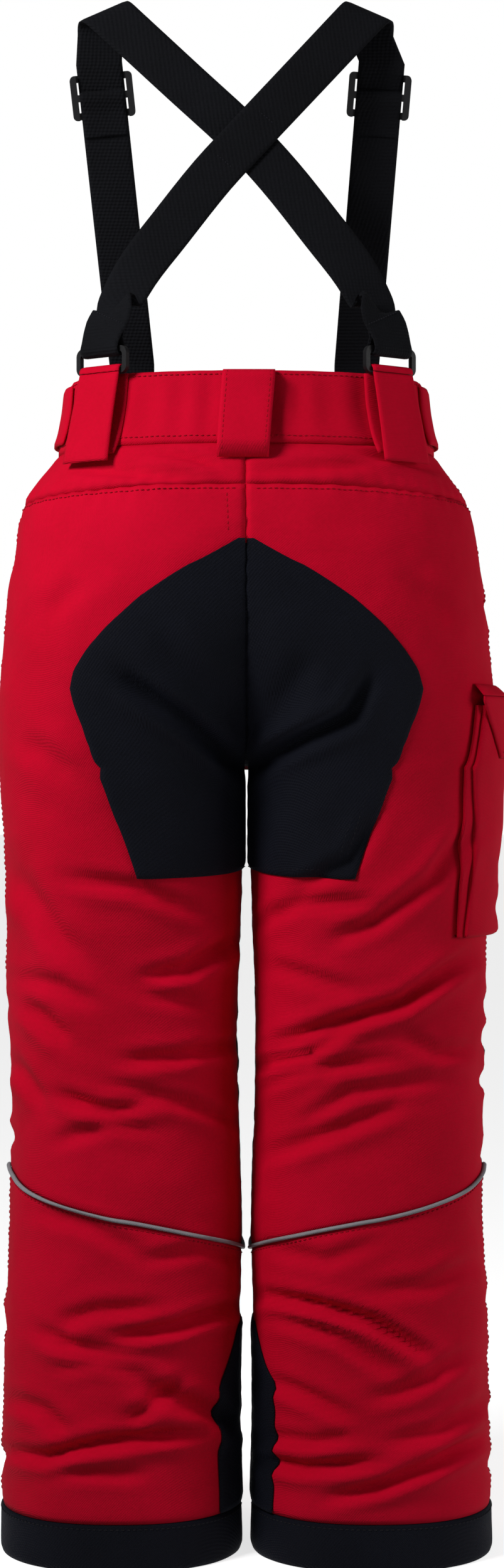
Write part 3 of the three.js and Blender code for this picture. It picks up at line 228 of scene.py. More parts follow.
# Creases behind, as drawn: half width and depth, then x and y of each point.
BACK_CREASES = (
    # The seat: from the hips to the crotch, and below the waistband.
    (15, 5.2, 195, 1077, 290, 1145, 379, 1221), (15, 5.2, 590, 1080, 560, 1140, 490, 1172, 406, 1221),
    (24, 1.6, 250, 1010, 330, 1120), (24, 1.6, 500, 1040, 440, 1140), (6, 4.5, 232, 716, 300, 728, 345, 742),
    (6.5, 5.5, 440, 706, 560, 716, 690, 748), (8, 2.2, 110, 745, 200, 752, 300, 762),
    (8, 2.4, 420, 748, 540, 745, 600, 738), (18, 1.4, 70, 980, 130, 930), (18, 1.4, 660, 930, 720, 990),
    (20, 1.6, 40, 1180, 110, 1240), (18, 2.4, 20, 1390, 90, 1490, 130, 1530),
    # The left leg, down to the piping.
    (12, 2.4, 110, 1400, 215, 1415, 330, 1460), (12, 4.0, 225, 1560, 300, 1545, 375, 1500),
    (13, 1.8, 30, 1560, 90, 1570, 150, 1600), (14, 2.6, 40, 1600, 110, 1660),
    (11, 3.6, 200, 1690, 280, 1685, 375, 1665), (12, 2.0, 215, 1580, 330, 1600),
    (11, 3.6, 95, 1745, 160, 1770, 240, 1762), (11, 2.6, 180, 1730, 300, 1760, 380, 1790),
    (12, 2.0, 90, 1820, 180, 1790, 240, 1800), (12, 2.2, 20, 1690, 70, 1760),
    # The left leg below the piping.
    (13, 1.8, 60, 1930, 150, 1955, 220, 2000), (11, 2.0, 230, 2010, 330, 1990, 380, 2010),
    (12, 2.4, 95, 2110, 150, 2090, 250, 2085), (11, 5.0, 185, 2130, 280, 2115, 375, 2080),
    (12, 3.2, 60, 2120, 120, 2150, 215, 2160), (10, 2.0, 90, 2180, 160, 2175, 230, 2190),
    (16, 4.4, 225, 2205, 290, 2235, 375, 2265), (12, 2.6, 200, 2270, 240, 2240, 290, 2200),
    (11, 5.0, 15, 2315, 70, 2322, 160, 2300, 330, 2280), (11, 2.0, 100, 2345, 230, 2350),
    (13, 2.4, 15, 2230, 70, 2250, 110, 2290),
    # The right leg, down to the piping.
    (13, 2.6, 600, 1300, 560, 1370, 470, 1420), (13, 3.0, 740, 1330, 690, 1400, 600, 1470, 530, 1500),
    (12, 2.0, 410, 1470, 480, 1440, 600, 1440), (12, 5.4, 440, 1665, 540, 1630, 640, 1600, 740, 1530),
    (11, 4.2, 410, 1700, 490, 1680, 560, 1640), (13, 1.8, 430, 1540, 560, 1580),
    (11, 2.2, 415, 1730, 500, 1700, 620, 1690), (12, 2.2, 640, 1650, 700, 1680, 760, 1670),
    (13, 2.6, 430, 1840, 540, 1800, 640, 1760), (12, 2.0, 480, 1790, 560, 1740, 700, 1720),
    # The right leg below the piping.
    (12, 1.6, 430, 1990, 520, 2010, 600, 1980), (11, 5.0, 420, 2065, 500, 2080, 590, 2105, 680, 2160),
    (12, 2.6, 440, 2100, 540, 2130, 630, 2190), (13, 1.8, 590, 2060, 680, 2050, 760, 2010),
    (12, 2.8, 600, 2230, 660, 2210, 740, 2160), (12, 2.6, 430, 2200, 500, 2230, 560, 2260),
    (11, 2.2, 420, 2290, 500, 2300, 560, 2290), (11, 3.6, 410, 2325, 480, 2340, 600, 2330),
    (11, 5.0, 520, 2390, 600, 2372, 680, 2340, 770, 2290), (12, 2.4, 620, 2300, 700, 2280, 775, 2230),
)


def noise(shape, cells, rng):
    """Smooth noise from -1 to 1 on a grid, with so many cells each way."""
    a = rng.uniform(-1, 1, (cells[0] + 3, cells[1] + 3))
    x = np.linspace(0, cells[0], shape[0])[:, None]
    y = np.linspace(0, cells[1], shape[1])[None, :]
    i, j = x.astype(int), y.astype(int)
    u, v = smooth(x - i), smooth(y - j)
    return (1 - u) * (1 - v) * a[i, j] + u * (1 - v) * a[i + 1, j] + (1 - u) * v * a[i, j + 1] + u * v * a[i + 1, j + 1]


def make_field(side):
    rng = np.random.default_rng(11 if side > 0 else 23)
    psi, z = np.meshgrid(PSI, ZED, indexing="ij")
    FIELD[side] = np.zeros((NPSI, NZ))
    p = skin(side, psi, z, drape=False)
    out = np.zeros((NPSI, NZ))
    behind = smooth((-psi + 0.02) / 0.14)
    q = to_picture(p)
    for width, depth, *points in BACK_CREASES:
        if (np.mean(points[::2]) > DRAWN_CENTRE) == (side > 0):
            out += behind * crease(q, np.reshape(points, (-1, 2)), width, depth, skew=1 if depth > 2 else -1)
    # In front and at the sides: creases of the same kind, most of them round the ankle and the knee.
    ahead = 1 - behind
    girth = psi * GIRTH
    for _ in range(34):
        c = rng.uniform(-30, 290)
        h = rng.choice([rng.uniform(40, 200), rng.uniform(260, 420), rng.uniform(420, 700)])
        half, tilt = rng.uniform(30, 80), rng.uniform(-0.35, 0.35)
        line = [(c - half, h - tilt * half), (c, h + rng.uniform(-4, 4)), (c + half, h + tilt * half)]
        out += ahead * crease((girth, z), line, rng.uniform(4.5, 7), rng.uniform(0.8, 2.6), skew=rng.choice([-1, 1]))
    # Soft unevenness and small wrinkles of the wadding.
    out += 1.3 * noise(out.shape, (9, 14), rng) + 0.7 * noise(out.shape, (22, 34), rng)
    out += 0.32 * noise(out.shape, (50, 90), rng)
    # It lies flat under the hand pocket's zip.
    x, h = psi * 230, z
    ax, ah, bx, bh = 0.36 * 230, 630, 0.62 * 230, 720
    along = np.clip(((x - ax) * (bx - ax) + (h - ah) * (bh - ah)) / ((bx - ax) ** 2 + (bh - ah) ** 2), 0, 1)
    near = np.hypot(x - mix(ax, bx, along), h - mix(ah, bh, along))
    out *= 1 - np.exp(-((near / 17) ** 4)) * (psi > 0)
    # The cloth is held at the waistband and the hem.
    hold = smooth((BAND_Z + 4 - z) / 26) * (0.25 + 0.75 * smooth((z - HEM_Z) / 30))
    # It puckers along the seams: small waves across them.
    for line in (yoke_z(psi), BAND_Z):
        out += 0.6 * np.exp(-((z - line) / 7) ** 2) * np.sin(psi * 95 + 4 * noise(out.shape, (9, 3), rng))
    out += 0.55 * np.exp(-((np.abs(psi) - 1) * GIRTH / 7) ** 2) * np.sin(z * 0.55 + 3 * noise(out.shape, (3, 20), rng))
    out += 0.45 * np.exp(-(psi * GIRTH / 6) ** 2) * np.sin(z * 0.6 + 3 * noise(out.shape, (3, 20), rng))
    out = np.clip(out * hold, DEEPEST, HIGHEST)
    # The legs keep clear of each other, so the inseam moves less.
    near = np.exp(-((np.abs(psi) - 1) * GIRTH / 18) ** 2) * (z < CROTCH_Z + 20)
    FIELD[side] = out * (1 - 0.7 * near)


for _, side in SIDES:
    make_field(side)

# ---------------------------------------------------------------- mesh builders


def new_object(name, verts, faces, material, smooth_shade=True):
    mesh = bpy.data.meshes.new(name)
    mesh.from_pydata([tuple(v) for v in np.asarray(verts) * MM], [], faces)
    mesh.validate()
    mesh.update()
    if smooth_shade:
        mesh.polygons.foreach_set("use_smooth", [True] * len(mesh.polygons))
    o = bpy.data.objects.new(name, mesh)
    bpy.context.collection.objects.link(o)
    o.data.materials.append(material)
    return o


def slab(outer, inner, closed=False):
    """Vertices and faces of a closed sheet between two grids of points."""
    rows, cols = outer.shape[:2]
    verts = np.concatenate([outer.reshape(-1, 3), inner.reshape(-1, 3)])
    n = rows * cols
    faces = []
    across = cols if closed else cols - 1
    for j in range(rows - 1):
        for i in range(across):
            a, b = j * cols + i, j * cols + (i + 1) % cols
            c, d = (j + 1) * cols + (i + 1) % cols, (j + 1) * cols + i
            faces += [(a, b, c, d), (n + a, n + d, n + c, n + b)]
    last, rim = n - cols, []
    for i in range(across):
        a, b = i, (i + 1) % cols
        rim += [(b, a), (last + a, last + b)]
    for j in range(0 if closed else rows - 1):
        a, d = j * cols, (j + 1) * cols
        rim += [(a, d), (d + cols - 1, a + cols - 1)]
    faces += [(a, b, n + b, n + a) for a, b in rim]
    return verts, outward(verts, faces)


def outward(verts, faces):
    v = np.asarray(verts, float)
    v = (v - v.mean(0))[np.asarray(faces)]
    volume = (v[:, 0] * (np.cross(v[:, 1], v[:, 2]) + np.cross(v[:, 2], v[:, 3]))).sum()
    return [tuple(reversed(f)) for f in faces] if volume < 0 else faces


def edge_roll(s, t, width, height, roll, reach, closed=False):
    """How far a sheet's face sinks near its edges, so that it turns over softly into each seam."""
    d = np.minimum(t, 1 - t) * height
    if not closed:
        d = np.minimum(d, np.minimum(s, 1 - s) * width)
    return -roll * np.exp(-d / reach)


def grid(cols, rows):
    return np.meshgrid(np.linspace(0, 1, cols + 1), np.linspace(0, 1, rows + 1))


def declare(o, body, nodes):
    """Says what a piece rides on, and hides the CAD nodes that it stands for."""
    if body:  # a piece that spans a joint gets no body and stays unparented
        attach(o, body)
    if nodes is not None:
        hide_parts(*nodes)
    return o


def sheet_piece(name, at, nodes, cols, rows, body="trousers", slot="red_shell", thick=SHELL, lift=0.0, size=(200, 200),
                roll=1.0, reach=1.6, closed=False, fill=None, flat=None, held="stretched", on=("waistband_back",)):
    """A piece of cloth. at(s, t, lift) gives its points; s runs across and t down, both from 0 to 1.

    Its fill and flat size are not used.
    """
    s, t = grid(cols, rows)
    if closed:
        s, t = s[:, :-1], t[:, :-1]
    sink = edge_roll(s, t, *size, roll, reach, closed)
    v, f = slab(at(s, t, lift + sink), at(s, t, lift - thick + 0 * sink), closed)
    o = declare(new_object(name, v, f, CLOTHS[slot]), body, nodes)
    return o


# ---------------------------------------------------------------- materials


class Nodes:
    """A material's node tree, with a short way to add a node and join it up."""

    def __init__(self, name):
        self.mat = bpy.data.materials.new(name)
        self.mat.use_nodes = True
        self.tree = self.mat.node_tree
        self.shader = self.tree.nodes["Principled BSDF"]

    def add(self, kind, inputs=None, **props):
        node = self.tree.nodes.new(kind)
        for k, v in props.items():
            setattr(node, k, v)
        for k, v in (inputs or {}).items():
            if isinstance(v, bpy.types.NodeSocket):
                self.tree.links.new(v, node.inputs[k])
            else:
                node.inputs[k].default_value = v
        return node

    def math(self, op, a, b=0.0):
        return self.add("ShaderNodeMath", {0: a, 1: b}, operation=op).outputs[0]

    def link(self, out, socket):
        self.tree.links.new(out, self.shader.inputs[socket])

    def fixed(self, **values):
        """Shader inputs that are the same all over, with _ for a space in their names."""
        for k, v in values.items():
            self.shader.inputs[k.replace("_", " ")].default_value = v

    def ramp(self, factor, low, high, start=0.0, end=1.0):
        node = self.add("ShaderNodeValToRGB", {"Fac": factor})
        for e, colour, place in zip(node.color_ramp.elements, (low, high), (start, end)):
            e.color, e.position = (*colour, 1), place
        self.link(node.outputs["Color"], "Base Color")

    def bump(self, height, strength, distance):
        node = self.add("ShaderNodeBump", {"Height": height, "Strength": strength, "Distance": distance})
        self.link(node.outputs["Normal"], "Normal")


def cloth(name, colour, dark, rough, cell, bump, sheen=0.25, tint=None, ribs=False):
    """Woven cloth: two crossing sets of yarns at `cell` metres apart, a slow unevenness of colour, and a soft sheen."""
    n = Nodes(name)
    where = n.add("ShaderNodeTexCoord").outputs["Object"]
    split = n.add("ShaderNodeSeparateXYZ", {0: where})
    x, y, z = (split.outputs[i] for i in range(3))
    freq = 2 * math.pi / cell
    if ribs:
        # Elastic webbing: ribs across the strap and fine yarns along it.
        warp = n.math("SINE", n.math("MULTIPLY", z, freq))
        weft = n.math("SINE", n.math("MULTIPLY", n.math("ADD", x, y), freq * 0.8))
    else:
        # Twill: the yarns run at two slopes, so a diagonal line shows.
        warp = n.math("SINE", n.math("MULTIPLY", n.math("ADD", n.math("ADD", x, y), z), freq))
        weft = n.math("SINE", n.math("MULTIPLY", n.math("SUBTRACT", n.math("SUBTRACT", x, y), z), freq * 0.61))
    weave = n.math("ADD", warp, n.math("MULTIPLY", weft, 0.6))
    slow = n.add("ShaderNodeTexNoise", {"Vector": where, "Scale": 14.0, "Detail": 4.0, "Roughness": 0.55})
    fine = n.add("ShaderNodeTexNoise", {"Vector": where, "Scale": 420.0, "Detail": 3.0, "Roughness": 0.6})
    fuzz = n.math("ADD", n.math("MULTIPLY", slow.outputs["Fac"], 0.65), n.math("MULTIPLY", fine.outputs["Fac"], 0.35))
    n.ramp(fuzz, dark, colour, 0.3, 0.68)
    height = n.math("ADD", n.math("MULTIPLY", weave, 0.22), n.math("MULTIPLY", fine.outputs["Fac"], 0.8))
    n.bump(height, bump, 0.0006)
    n.link(n.math("ADD", n.math("MULTIPLY", fine.outputs["Fac"], 0.18), rough - 0.09), "Roughness")
    n.fixed(Sheen_Weight=sheen, Sheen_Roughness=0.45, Sheen_Tint=(*(tint or colour), 1), Specular_IOR_Level=0.06)
    return n.mat


def plastic(name, colour, rough, metallic=0.0):
    n = Nodes(name)
    where = n.add("ShaderNodeTexCoord").outputs["Object"]
    grain = n.add("ShaderNodeTexNoise", {"Vector": where, "Scale": 900.0, "Detail": 2.0})
    n.ramp(grain.outputs["Fac"], [c * 0.75 for c in colour], [c * 1.25 for c in colour])
    n.link(n.math("ADD", n.math("MULTIPLY", grain.outputs["Fac"], 0.2), rough - 0.1), "Roughness")
    n.bump(grain.outputs["Fac"], 0.25, 0.0002)
    n.fixed(Metallic=metallic, Specular_IOR_Level=0.2)
    return n.mat


RED = cloth("red twill", (0.68, 0.0008, 0.026), (0.54, 0.0005, 0.017), 0.85, 0.0011, 0.5, sheen=0.01,
            tint=(1, 0.05, 0.1))
NAVY = cloth("black patch cloth", (0.0062, 0.0070, 0.0122), (0.0034, 0.0038, 0.0064), 0.75, 0.0016, 0.9, sheen=0.015,
             tint=(0.4, 0.45, 0.8))
DARK = cloth("dark lining", (0.010, 0.010, 0.013), (0.006, 0.006, 0.008), 0.7, 0.0008, 0.3, sheen=0.03,
             tint=(0.5, 0.5, 0.6))
WEBBING = cloth("black webbing", (0.0062, 0.0065, 0.0085), (0.0035, 0.0036, 0.0046), 0.8, 0.0022, 1.0, sheen=0.015,
                tint=(0.5, 0.5, 0.5), ribs=True)
GREY = cloth("reflective piping", (0.34, 0.34, 0.36), (0.22, 0.22, 0.24), 0.4, 0.0009, 0.4, sheen=0.1)
THREAD = cloth("red thread", (0.50, 0.004, 0.02), (0.36, 0.002, 0.014), 0.7, 0.0005, 0.3, sheen=0.02)
DARK_THREAD = cloth("black thread", (0.016, 0.016, 0.02), (0.009, 0.009, 0.012), 0.65, 0.0005, 0.3, sheen=0.02)
PLASTIC = plastic("black plastic", (0.006, 0.006, 0.007), 0.45)
ZIP = plastic("dark zip metal", (0.05, 0.05, 0.055), 0.35, 1.0)
CLOTHS = {"red_shell": RED, "black_patch": NAVY, "dark_lining": DARK}

# ---------------------------------------------------------------- trouser panels
STEP = 3.6  # spacing of the fine grids
EDGE, INSEAM = 0.0012, 0.9995  # psi of a panel's edges at the side seam and the inseam
SEW = 0.25  # half the gap between panels that are sewn edge to edge


def bend_at_knee(o):
    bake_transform(o)


def piping_z(psi):
    return PIPING_Z - PIPING_DROP * (1 - np.abs(1 - np.abs(psi)))


def knee_top_z(psi):
    return KNEE_TOP_Z + 14 * np.sin(np.pi * np.minimum(np.abs(psi), 1))


def height_of(edge, psi):
    return edge(psi) if callable(edge) else edge


def leg_panel(name, side, half, top, bottom, nodes, height, **more):
    """A panel of one leg, behind where half is -1 and in front where it is 1, between two heights or seams."""
    def at(s, t, lift):
        psi = half * mix(EDGE, INSEAM, s)
        return skin(side, psi, mix(height_of(top, psi), height_of(bottom, psi), t), lift)

    width = (INSEAM - EDGE) * 245
    cols, rows = max(6, round(width / STEP)), max(4, round(height / STEP))
    return sheet_piece(name, at, nodes, cols, rows, size=(width, height), **more)


def all_round(s):
    """psi for a share of the way round a leg, from the side seam by the front."""
    psi = 2 * s
    return np.where(psi > 1, psi - 2, psi)


def seam_tape_half(x):
    """Half the width of a tape that reaches past both edges of a seam."""
    return x + 4.9


for name, side in SIDES:
    shin = f"{name}_shin"
    leg_panel(f"yoke_{name}", side, -1, BAND_Z - 0.4, lambda p: yoke_z(p) + SEW, [f"back_yoke_{name}"], 32)
    back = leg_panel(f"back_leg_{name}", side, -1, lambda p: yoke_z(p) - SEW, lambda p: piping_z(p) + SEW,
                     [f"back_panel_{name}", f"knee_back_panel_{name}"], 460, body=None, fill=0.45)
    bend_at_knee(back)
    leg_panel(f"front_thigh_{name}", side, 1, BAND_Z - 0.4, lambda p: knee_top_z(p) + 0.5, [f"front_panel_{name}"],
              345, fill=0.45)
    knee = leg_panel(f"knee_panel_{name}", side, 1, knee_top_z, lambda p: piping_z(p) + SEW, [f"knee_patch_{name}"],
                     150, body=None, slot="black_patch", lift=0.4, fill=0.4)
    bend_at_knee(knee)
    for part, where in (("calf_panel", -1), ("shin_panel", 1)):
        leg_panel(f"{part}_cloth_{name}", side, where, lambda p: piping_z(p) - SEW, HEM_Z + 0.4, [f"{part}_{name}"],
                  200, body=shin, fill=0.45)

    # The piping is a round cord in a fold of tape.
    psi = all_round(np.linspace(0, 1, 241)[:-1])
    ring = np.linspace(0, 2 * np.pi, 9)[:-1]
    line = piping_z(psi)
    loops = [skin(side, psi, line + 1.35 * math.sin(a), 0.7 + 1.5 * math.cos(a)) for a in ring]
    verts = np.stack(loops, 1).reshape(-1, 3)
    n, m = len(psi), len(ring)
    faces = [(i * m + j, i * m + (j + 1) % m, (i + 1) % n * m + (j + 1) % m, (i + 1) % n * m + j)
             for i in range(n) for j in range(m)]
    pipe = new_object(f"piping_{name}", verts, outward(verts, faces), GREY)
    declare(pipe, shin, [f"reflective_piping_{name}"])

    def hem_at(s, t, lift):
        return skin(side, all_round(s), mix(HEM_Z, 0.0, t), lift)

    hem = sheet_piece(f"hem_{name}", hem_at, [f"hem_band_{name}"], 132, 12, shin, "black_patch", thick=3.4, lift=0.5,
                      size=(500, 30), roll=1.1, reach=1.4, closed=True, fill=0.3)

    def gaiter_at(s, t, lift):
        gather = 1.3 * smooth((t - 0.55) / 0.4) * np.sin(s * 2 * np.pi * 34)
        return skin(side, all_round(s), mix(GAITER_TOP_Z, 14, t), lift - LINING_GAP - 15 * t**0.8 + gather)

    sheet_piece(f"gaiter_{name}", gaiter_at, [f"snow_gaiter_{name}"], 204, 26, shin, "dark_lining", thick=1.2,
                size=(440, 176), roll=0.2, closed=True, flat=(0.44, 0.19), held="gathered", on=[back])

    def guard_at(s, t, lift):
        p = mix(0.8, 1.2, s)
        top = GUARD_TOP_Z - 330 * np.maximum(0, np.abs(p - 1) - 0.08)
        return skin(side, np.where(p > 1, p - 2, p), mix(top, HEM_Z + 1, t), lift)

    sheet_piece(f"guard_{name}", guard_at, [f"ankle_guard_{name}"], 28, 30, shin, "black_patch", thick=1.3, lift=1.9,
                size=(100, 110), roll=0.8, reach=1.0, flat=(0.105, 0.122), on=[hem])

    def lining_at(s, t, lift):
        return skin(side, mix(-0.96, 0.92, s), mix(BAND_Z - 0.5, LINING_FOOT_Z, t), lift - SHELL - LINING_GAP - 0.5)

    sheet_piece(f"lining_cloth_{name}", lining_at, [f"lining_{name}"], 90, 60, slot="dark_lining", thick=1.2,
                size=(460, 345), roll=0.1, flat=(0.46, 0.36), held="hung", on=[back])

# ---------------------------------------------------------------- centre seam allowance


def gusset_at(s, t, lift):
    """A strip behind the centre seam: down the back, under the crotch and up to the fly."""
    under = CROTCH_Z + 0.5
    z = np.where(t < 0.5, mix(BAND_Z - 1, under, 2 * t), mix(under, FLY_Z + 4, 2 * t - 1))
    psi = np.where(t < 0.5, -1.0, 1.0)
    a, b = skin(1, psi, z, lift), skin(-1, psi, z, lift)
    p = (a + b) / 2
    p[..., 0] = (2 * s - 1) * seam_tape_half(np.maximum(a[..., 0], -b[..., 0]))
    return p


sheet_piece("centre_seam_tape", gusset_at, [], 2, 160, thick=1.2, lift=-1.3, roll=0.0, flat=(0.0125, 0.46))

# ---------------------------------------------------------------- seat patch
PATCH_TOP, PATCH_LOW = 665, 448
PATCH_EDGE = np.array([(448, 0.537), (481, 0.503), (503, 0.482), (513, 0.47), (522, 0.473), (533, 0.493), (545, 0.5),
                       (562, 0.497), (570, 0.497), (582, 0.522), (596, 0.577), (610, 0.643), (628, 0.738),
                       (648, 0.863), (660, 0.945), (665, 0.98)])


def seat_edge(z):
    return np.interp(z, PATCH_EDGE[:, 0], PATCH_EDGE[:, 1])


def patch_tape_at(s, t, lift):
    """A strip behind the seam of the seat patch's two halves."""
    z = mix(PATCH_TOP - 3, CROTCH_Z + 3, t)
    a = skin(1, -1.0, z, lift)
    p = a.copy()
    p[..., 0] = (2 * s - 1) * seam_tape_half(a[..., 0])
    p[..., 1] = (a[..., 1] + skin(-1, -1.0, z, lift)[..., 1]) / 2
    return p


sheet_piece("patch_seam_tape", patch_tape_at, [], 2, 90, slot="black_patch", thick=1.0, lift=1.3, roll=0.0,
            flat=(0.0115, 0.19))

for name, side in SIDES:
    def seat_at(s, t, lift):
        z = mix(PATCH_TOP, PATCH_LOW, t)
        return skin(side, -mix(seat_edge(z), 0.9985, s), z + 6 * t**4 * s * s, lift)

    sheet_piece(f"seat_{name}", seat_at, [f"seat_patch_{name}"], 40, 64, slot="black_patch", thick=1.6, lift=2.3,
                size=(130, 213), roll=1.0, reach=1.3, fill=0.3)

# ---------------------------------------------------------------- waistband and what is on it
TAB_FOOT_Z = 717
LOOP_WIDTH, LOOP_LEAN = 33, 4
BANDS = (("waistband_back", -0.9965, 0.9965, 250), ("waistband_front_left", -1.0035, -1.988, 125),
         ("waistband_front_right", 1.0035, 1.988, 125))


def band_at(k0, k1):
    def at(s, t, lift):
        k = mix(k0, k1, s)
        pucker = 0.5 * np.sin(k * 61 + 2 * np.sin(k * 9)) * (0.35 + 0.65 * np.sin(np.pi * t))
        return waist(k, mix(WAIST_Z, BAND_Z, t), lift + pucker + 0.5 * np.sin(np.pi * t))
    return at


for node, k0, k1, width in BANDS:
    sheet_piece(f"{node}_cloth", band_at(k0, k1), [node], round(width * 0.9), 22, thick=4.4, lift=BAND,
                size=(width * 1.5, 48), roll=1.4, reach=1.8, fill=0.4)


def belt_at(s, t, lift):
    z = mix(WAIST_Z, TAB_FOOT_Z, t)
    k = k_across((s - 0.5) * LOOP_WIDTH - (t - 0.5) * LOOP_LEAN, z)
    stand = 7.6 * np.minimum(1, 2.2 * np.maximum(np.sin(np.pi * t), 0) ** 0.7)
    return waist(k, z, lift + BAND + 0.6 + stand)


sheet_piece("belt_loop_cloth", belt_at, ["belt_loop"], 16, 30, thick=1.7, lift=1.7, size=(32, 60), roll=0.7, reach=1.0,
            flat=(0.034, 0.068), held="folded")

for name, side in SIDES:
    def adjuster_at(s, t, lift):
        tip = 9 * np.maximum(0, (s - 0.86) / 0.14) ** 2
        z = mix(WAIST_Z - 4 - tip, BAND_Z + 4 + tip, t)
        # It stands off the band a little, most of all at its lower edge.
        puff = (1.8 * np.sin(np.pi * s) ** 0.7 * (0.6 + 0.4 * np.sin(np.pi * t))
                + 2.6 * np.exp(-(((1 - t) / 0.16) ** 2)) * s)
        return waist(side * mix(0.8, 1.42, s), z, lift + BAND + LAYER + puff)

    node = f"waist_adjuster_{name}"
    sheet_piece(f"adjuster_{name}", adjuster_at, [node], 36, 16, node, thick=2.0, lift=2.2, size=(95, 40), roll=0.9,
                reach=1.2, flat=(0.098, 0.04), held="folded")


def closure_at(s, t, lift):
    k = mix(1.91, 2.15, s)  # over the centre front at 2, from the left half to the right
    return waist(np.where(k < 2, -k, 4 - k), mix(WAIST_Z - 8, BAND_Z + 8, t), lift + BAND + LAYER)


sheet_piece("closure_cloth", closure_at, ["closure_tab"], 26, 16, "closure_tab", thick=2.0, lift=2.0, size=(57, 32),
            roll=0.8, reach=1.1, flat=(0.058, 0.034), held="folded", on=["waistband_front_right"])

# ---------------------------------------------------------------- rings, tabs and braces
RING_PITCH, RING_BAR, RING_SLACK = 14.5, 3.4, 1.7
WEB, WEB_WIDTH = 1.5, 31
TAB_K, TAB_WIDTH, TAB_CLOTH = 0.53, 33, 1.6
FOLD_R = RING_BAR / 2 + 1.15 + TAB_CLOTH / 2
BAR_UP = 1  # how far the ring's low bar is above the waist
TAB_LIFT = BAND + LAYER + TAB_CLOTH / 2
ROLL = 7  # radius of the webbing's fold over the shoulder
STRAP_STEP = 2.4
UP = np.array([0.0, 0.0, 1.0])


def per_mm(k):
    h = 0.01
    return 2 * h / np.linalg.norm(waist(k - h, WAIST_Z - 20) - waist(k + h, WAIST_Z - 20))


def normal_at(k, z, side=1):
    n = lobe_normal((abs(k) - 1) * seam_angle(np.array(float(z)), 0.0), np.array(float(z)))
    return n * np.array([side, 1, 1])


def ring_frame(side):
    n = normal_at(TAB_K, WAIST_Z, side)
    n[2] = 0
    n = unit(n)
    origin = waist(side * TAB_K, WAIST_Z) + n * (TAB_LIFT + FOLD_R)
    origin[2] = WAIST_Z + BAR_UP
    return origin, n


def in_frame(fr, y, z):
    return fr[0] + fr[1] * y + UP * z


def round_bar(fr, z0, radius, a0, a1, count):
    return [(in_frame(fr, radius * math.cos(a), z0 + radius * math.sin(a)), fr[1] * math.cos(a) + UP * math.sin(a))
            for a in np.linspace(a0, a1, count + 1)]


def frames(stations):
    """Each station's point, with the directions across the strap and out of its face."""
    p = np.array([a for a, _ in stations])
    n = np.array([b for _, b in stations])
    along = unit(np.concatenate([p[1:2] - p[:1], p[2:] - p[:-2], p[-1:] - p[-2:-1]]))
    side = unit(np.cross(along, n))
    face = unit(np.cross(side, along))
    face *= np.sign((face * n).sum(1, keepdims=True))
    return list(zip(p, side, face))


def flat_row(p, side, face):
    return lambda v, lift: p + side * v + face * lift


def resample(stations, step):
    """Evenly spaced stations along a smooth line through the given ones."""
    p = np.array([a for a, _ in stations])
    n = np.array([b for _, b in stations])
    d = run_along(p)
    at = np.linspace(0, d[-1], max(4, round(d[-1] / step)))
    out = np.stack([np.interp(at, d, p[:, i]) for i in range(3)], 1)
    face = unit(np.stack([np.interp(at, d, n[:, i]) for i in range(3)], 1))
    return list(zip(out, face)), d[-1]


# Across at the fold's axis, at the top and foot of the front run, and the angle at which the strap crosses the fold.
SHOULDER = {"right": (80, 91, 75, 0.34), "left": (93.5, 99, 78, 0.4)}
SHOULDER_Z, CROSSING_Z, FOLD_TILT, LEAN = 1019, 936, 0.41, 0.17
WRAP_BACK, WRAP_FRONT, FOLD_HALF = 1.403, 1.25, 17
BACK_ROUTE = ((83.5, 47), (71, 70), (49, 100), (23, 134))
BACK_N = unit(np.array([0.0, -1.0, LEAN]))


def back_y(z):
    return -ROLL - LEAN * (SHOULDER_Z + 1 - z)


def centripetal(points, shares):
    """Points of a centripetal Catmull-Rom curve at shares of its own parameter, as the CAD's curve is."""
    pts = [2 * points[0] - points[1], *points, 2 * points[-1] - points[-2]]
    out = []
    segments = len(points) - 1
    for u in shares:
        x = min(u * segments, segments - 1e-9)
        i = int(x)
        w = x - i
        p0, p1, p2, p3 = pts[i:i + 4]
        d0, d1, d2 = (max(np.linalg.norm(b - a) ** 0.5, 1e-4) for a, b in ((p0, p1), (p1, p2), (p2, p3)))
        t1 = ((p1 - p0) / d0 - (p2 - p0) / (d0 + d1) + (p2 - p1) / d1) * d1
        t2 = ((p2 - p1) / d1 - (p3 - p1) / (d1 + d2) + (p3 - p2) / d2) * d1
        out.append(p1 + t1 * w + (-3 * p1 + 3 * p2 - 2 * t1 - t2) * w**2 + (2 * p1 - 2 * p2 + t1 + t2) * w**3)
    return out


def front_run(side, name):
    _, front_x, foot_x, _ = SHOULDER[name]
    top = np.array([side * front_x, ROLL + 2.5, 994.0])
    end = np.array([side * (foot_x + 1.5), 74.0, WAIST_Z + 24.0])
    along = unit(end - top)
    return top, end, along, unit(np.array([0.0, 1.0, 0.0]) - along * along[1])


def foot_k(side, name):
    half = float(lobe(np.array(float(WAIST_Z)))[1])
    angle = math.acos((SHOULDER[name][2] / half) ** (SQUARE / 2))
    return side * (1 + angle / float(seam_angle(np.array(float(WAIST_Z)), 0.0)))


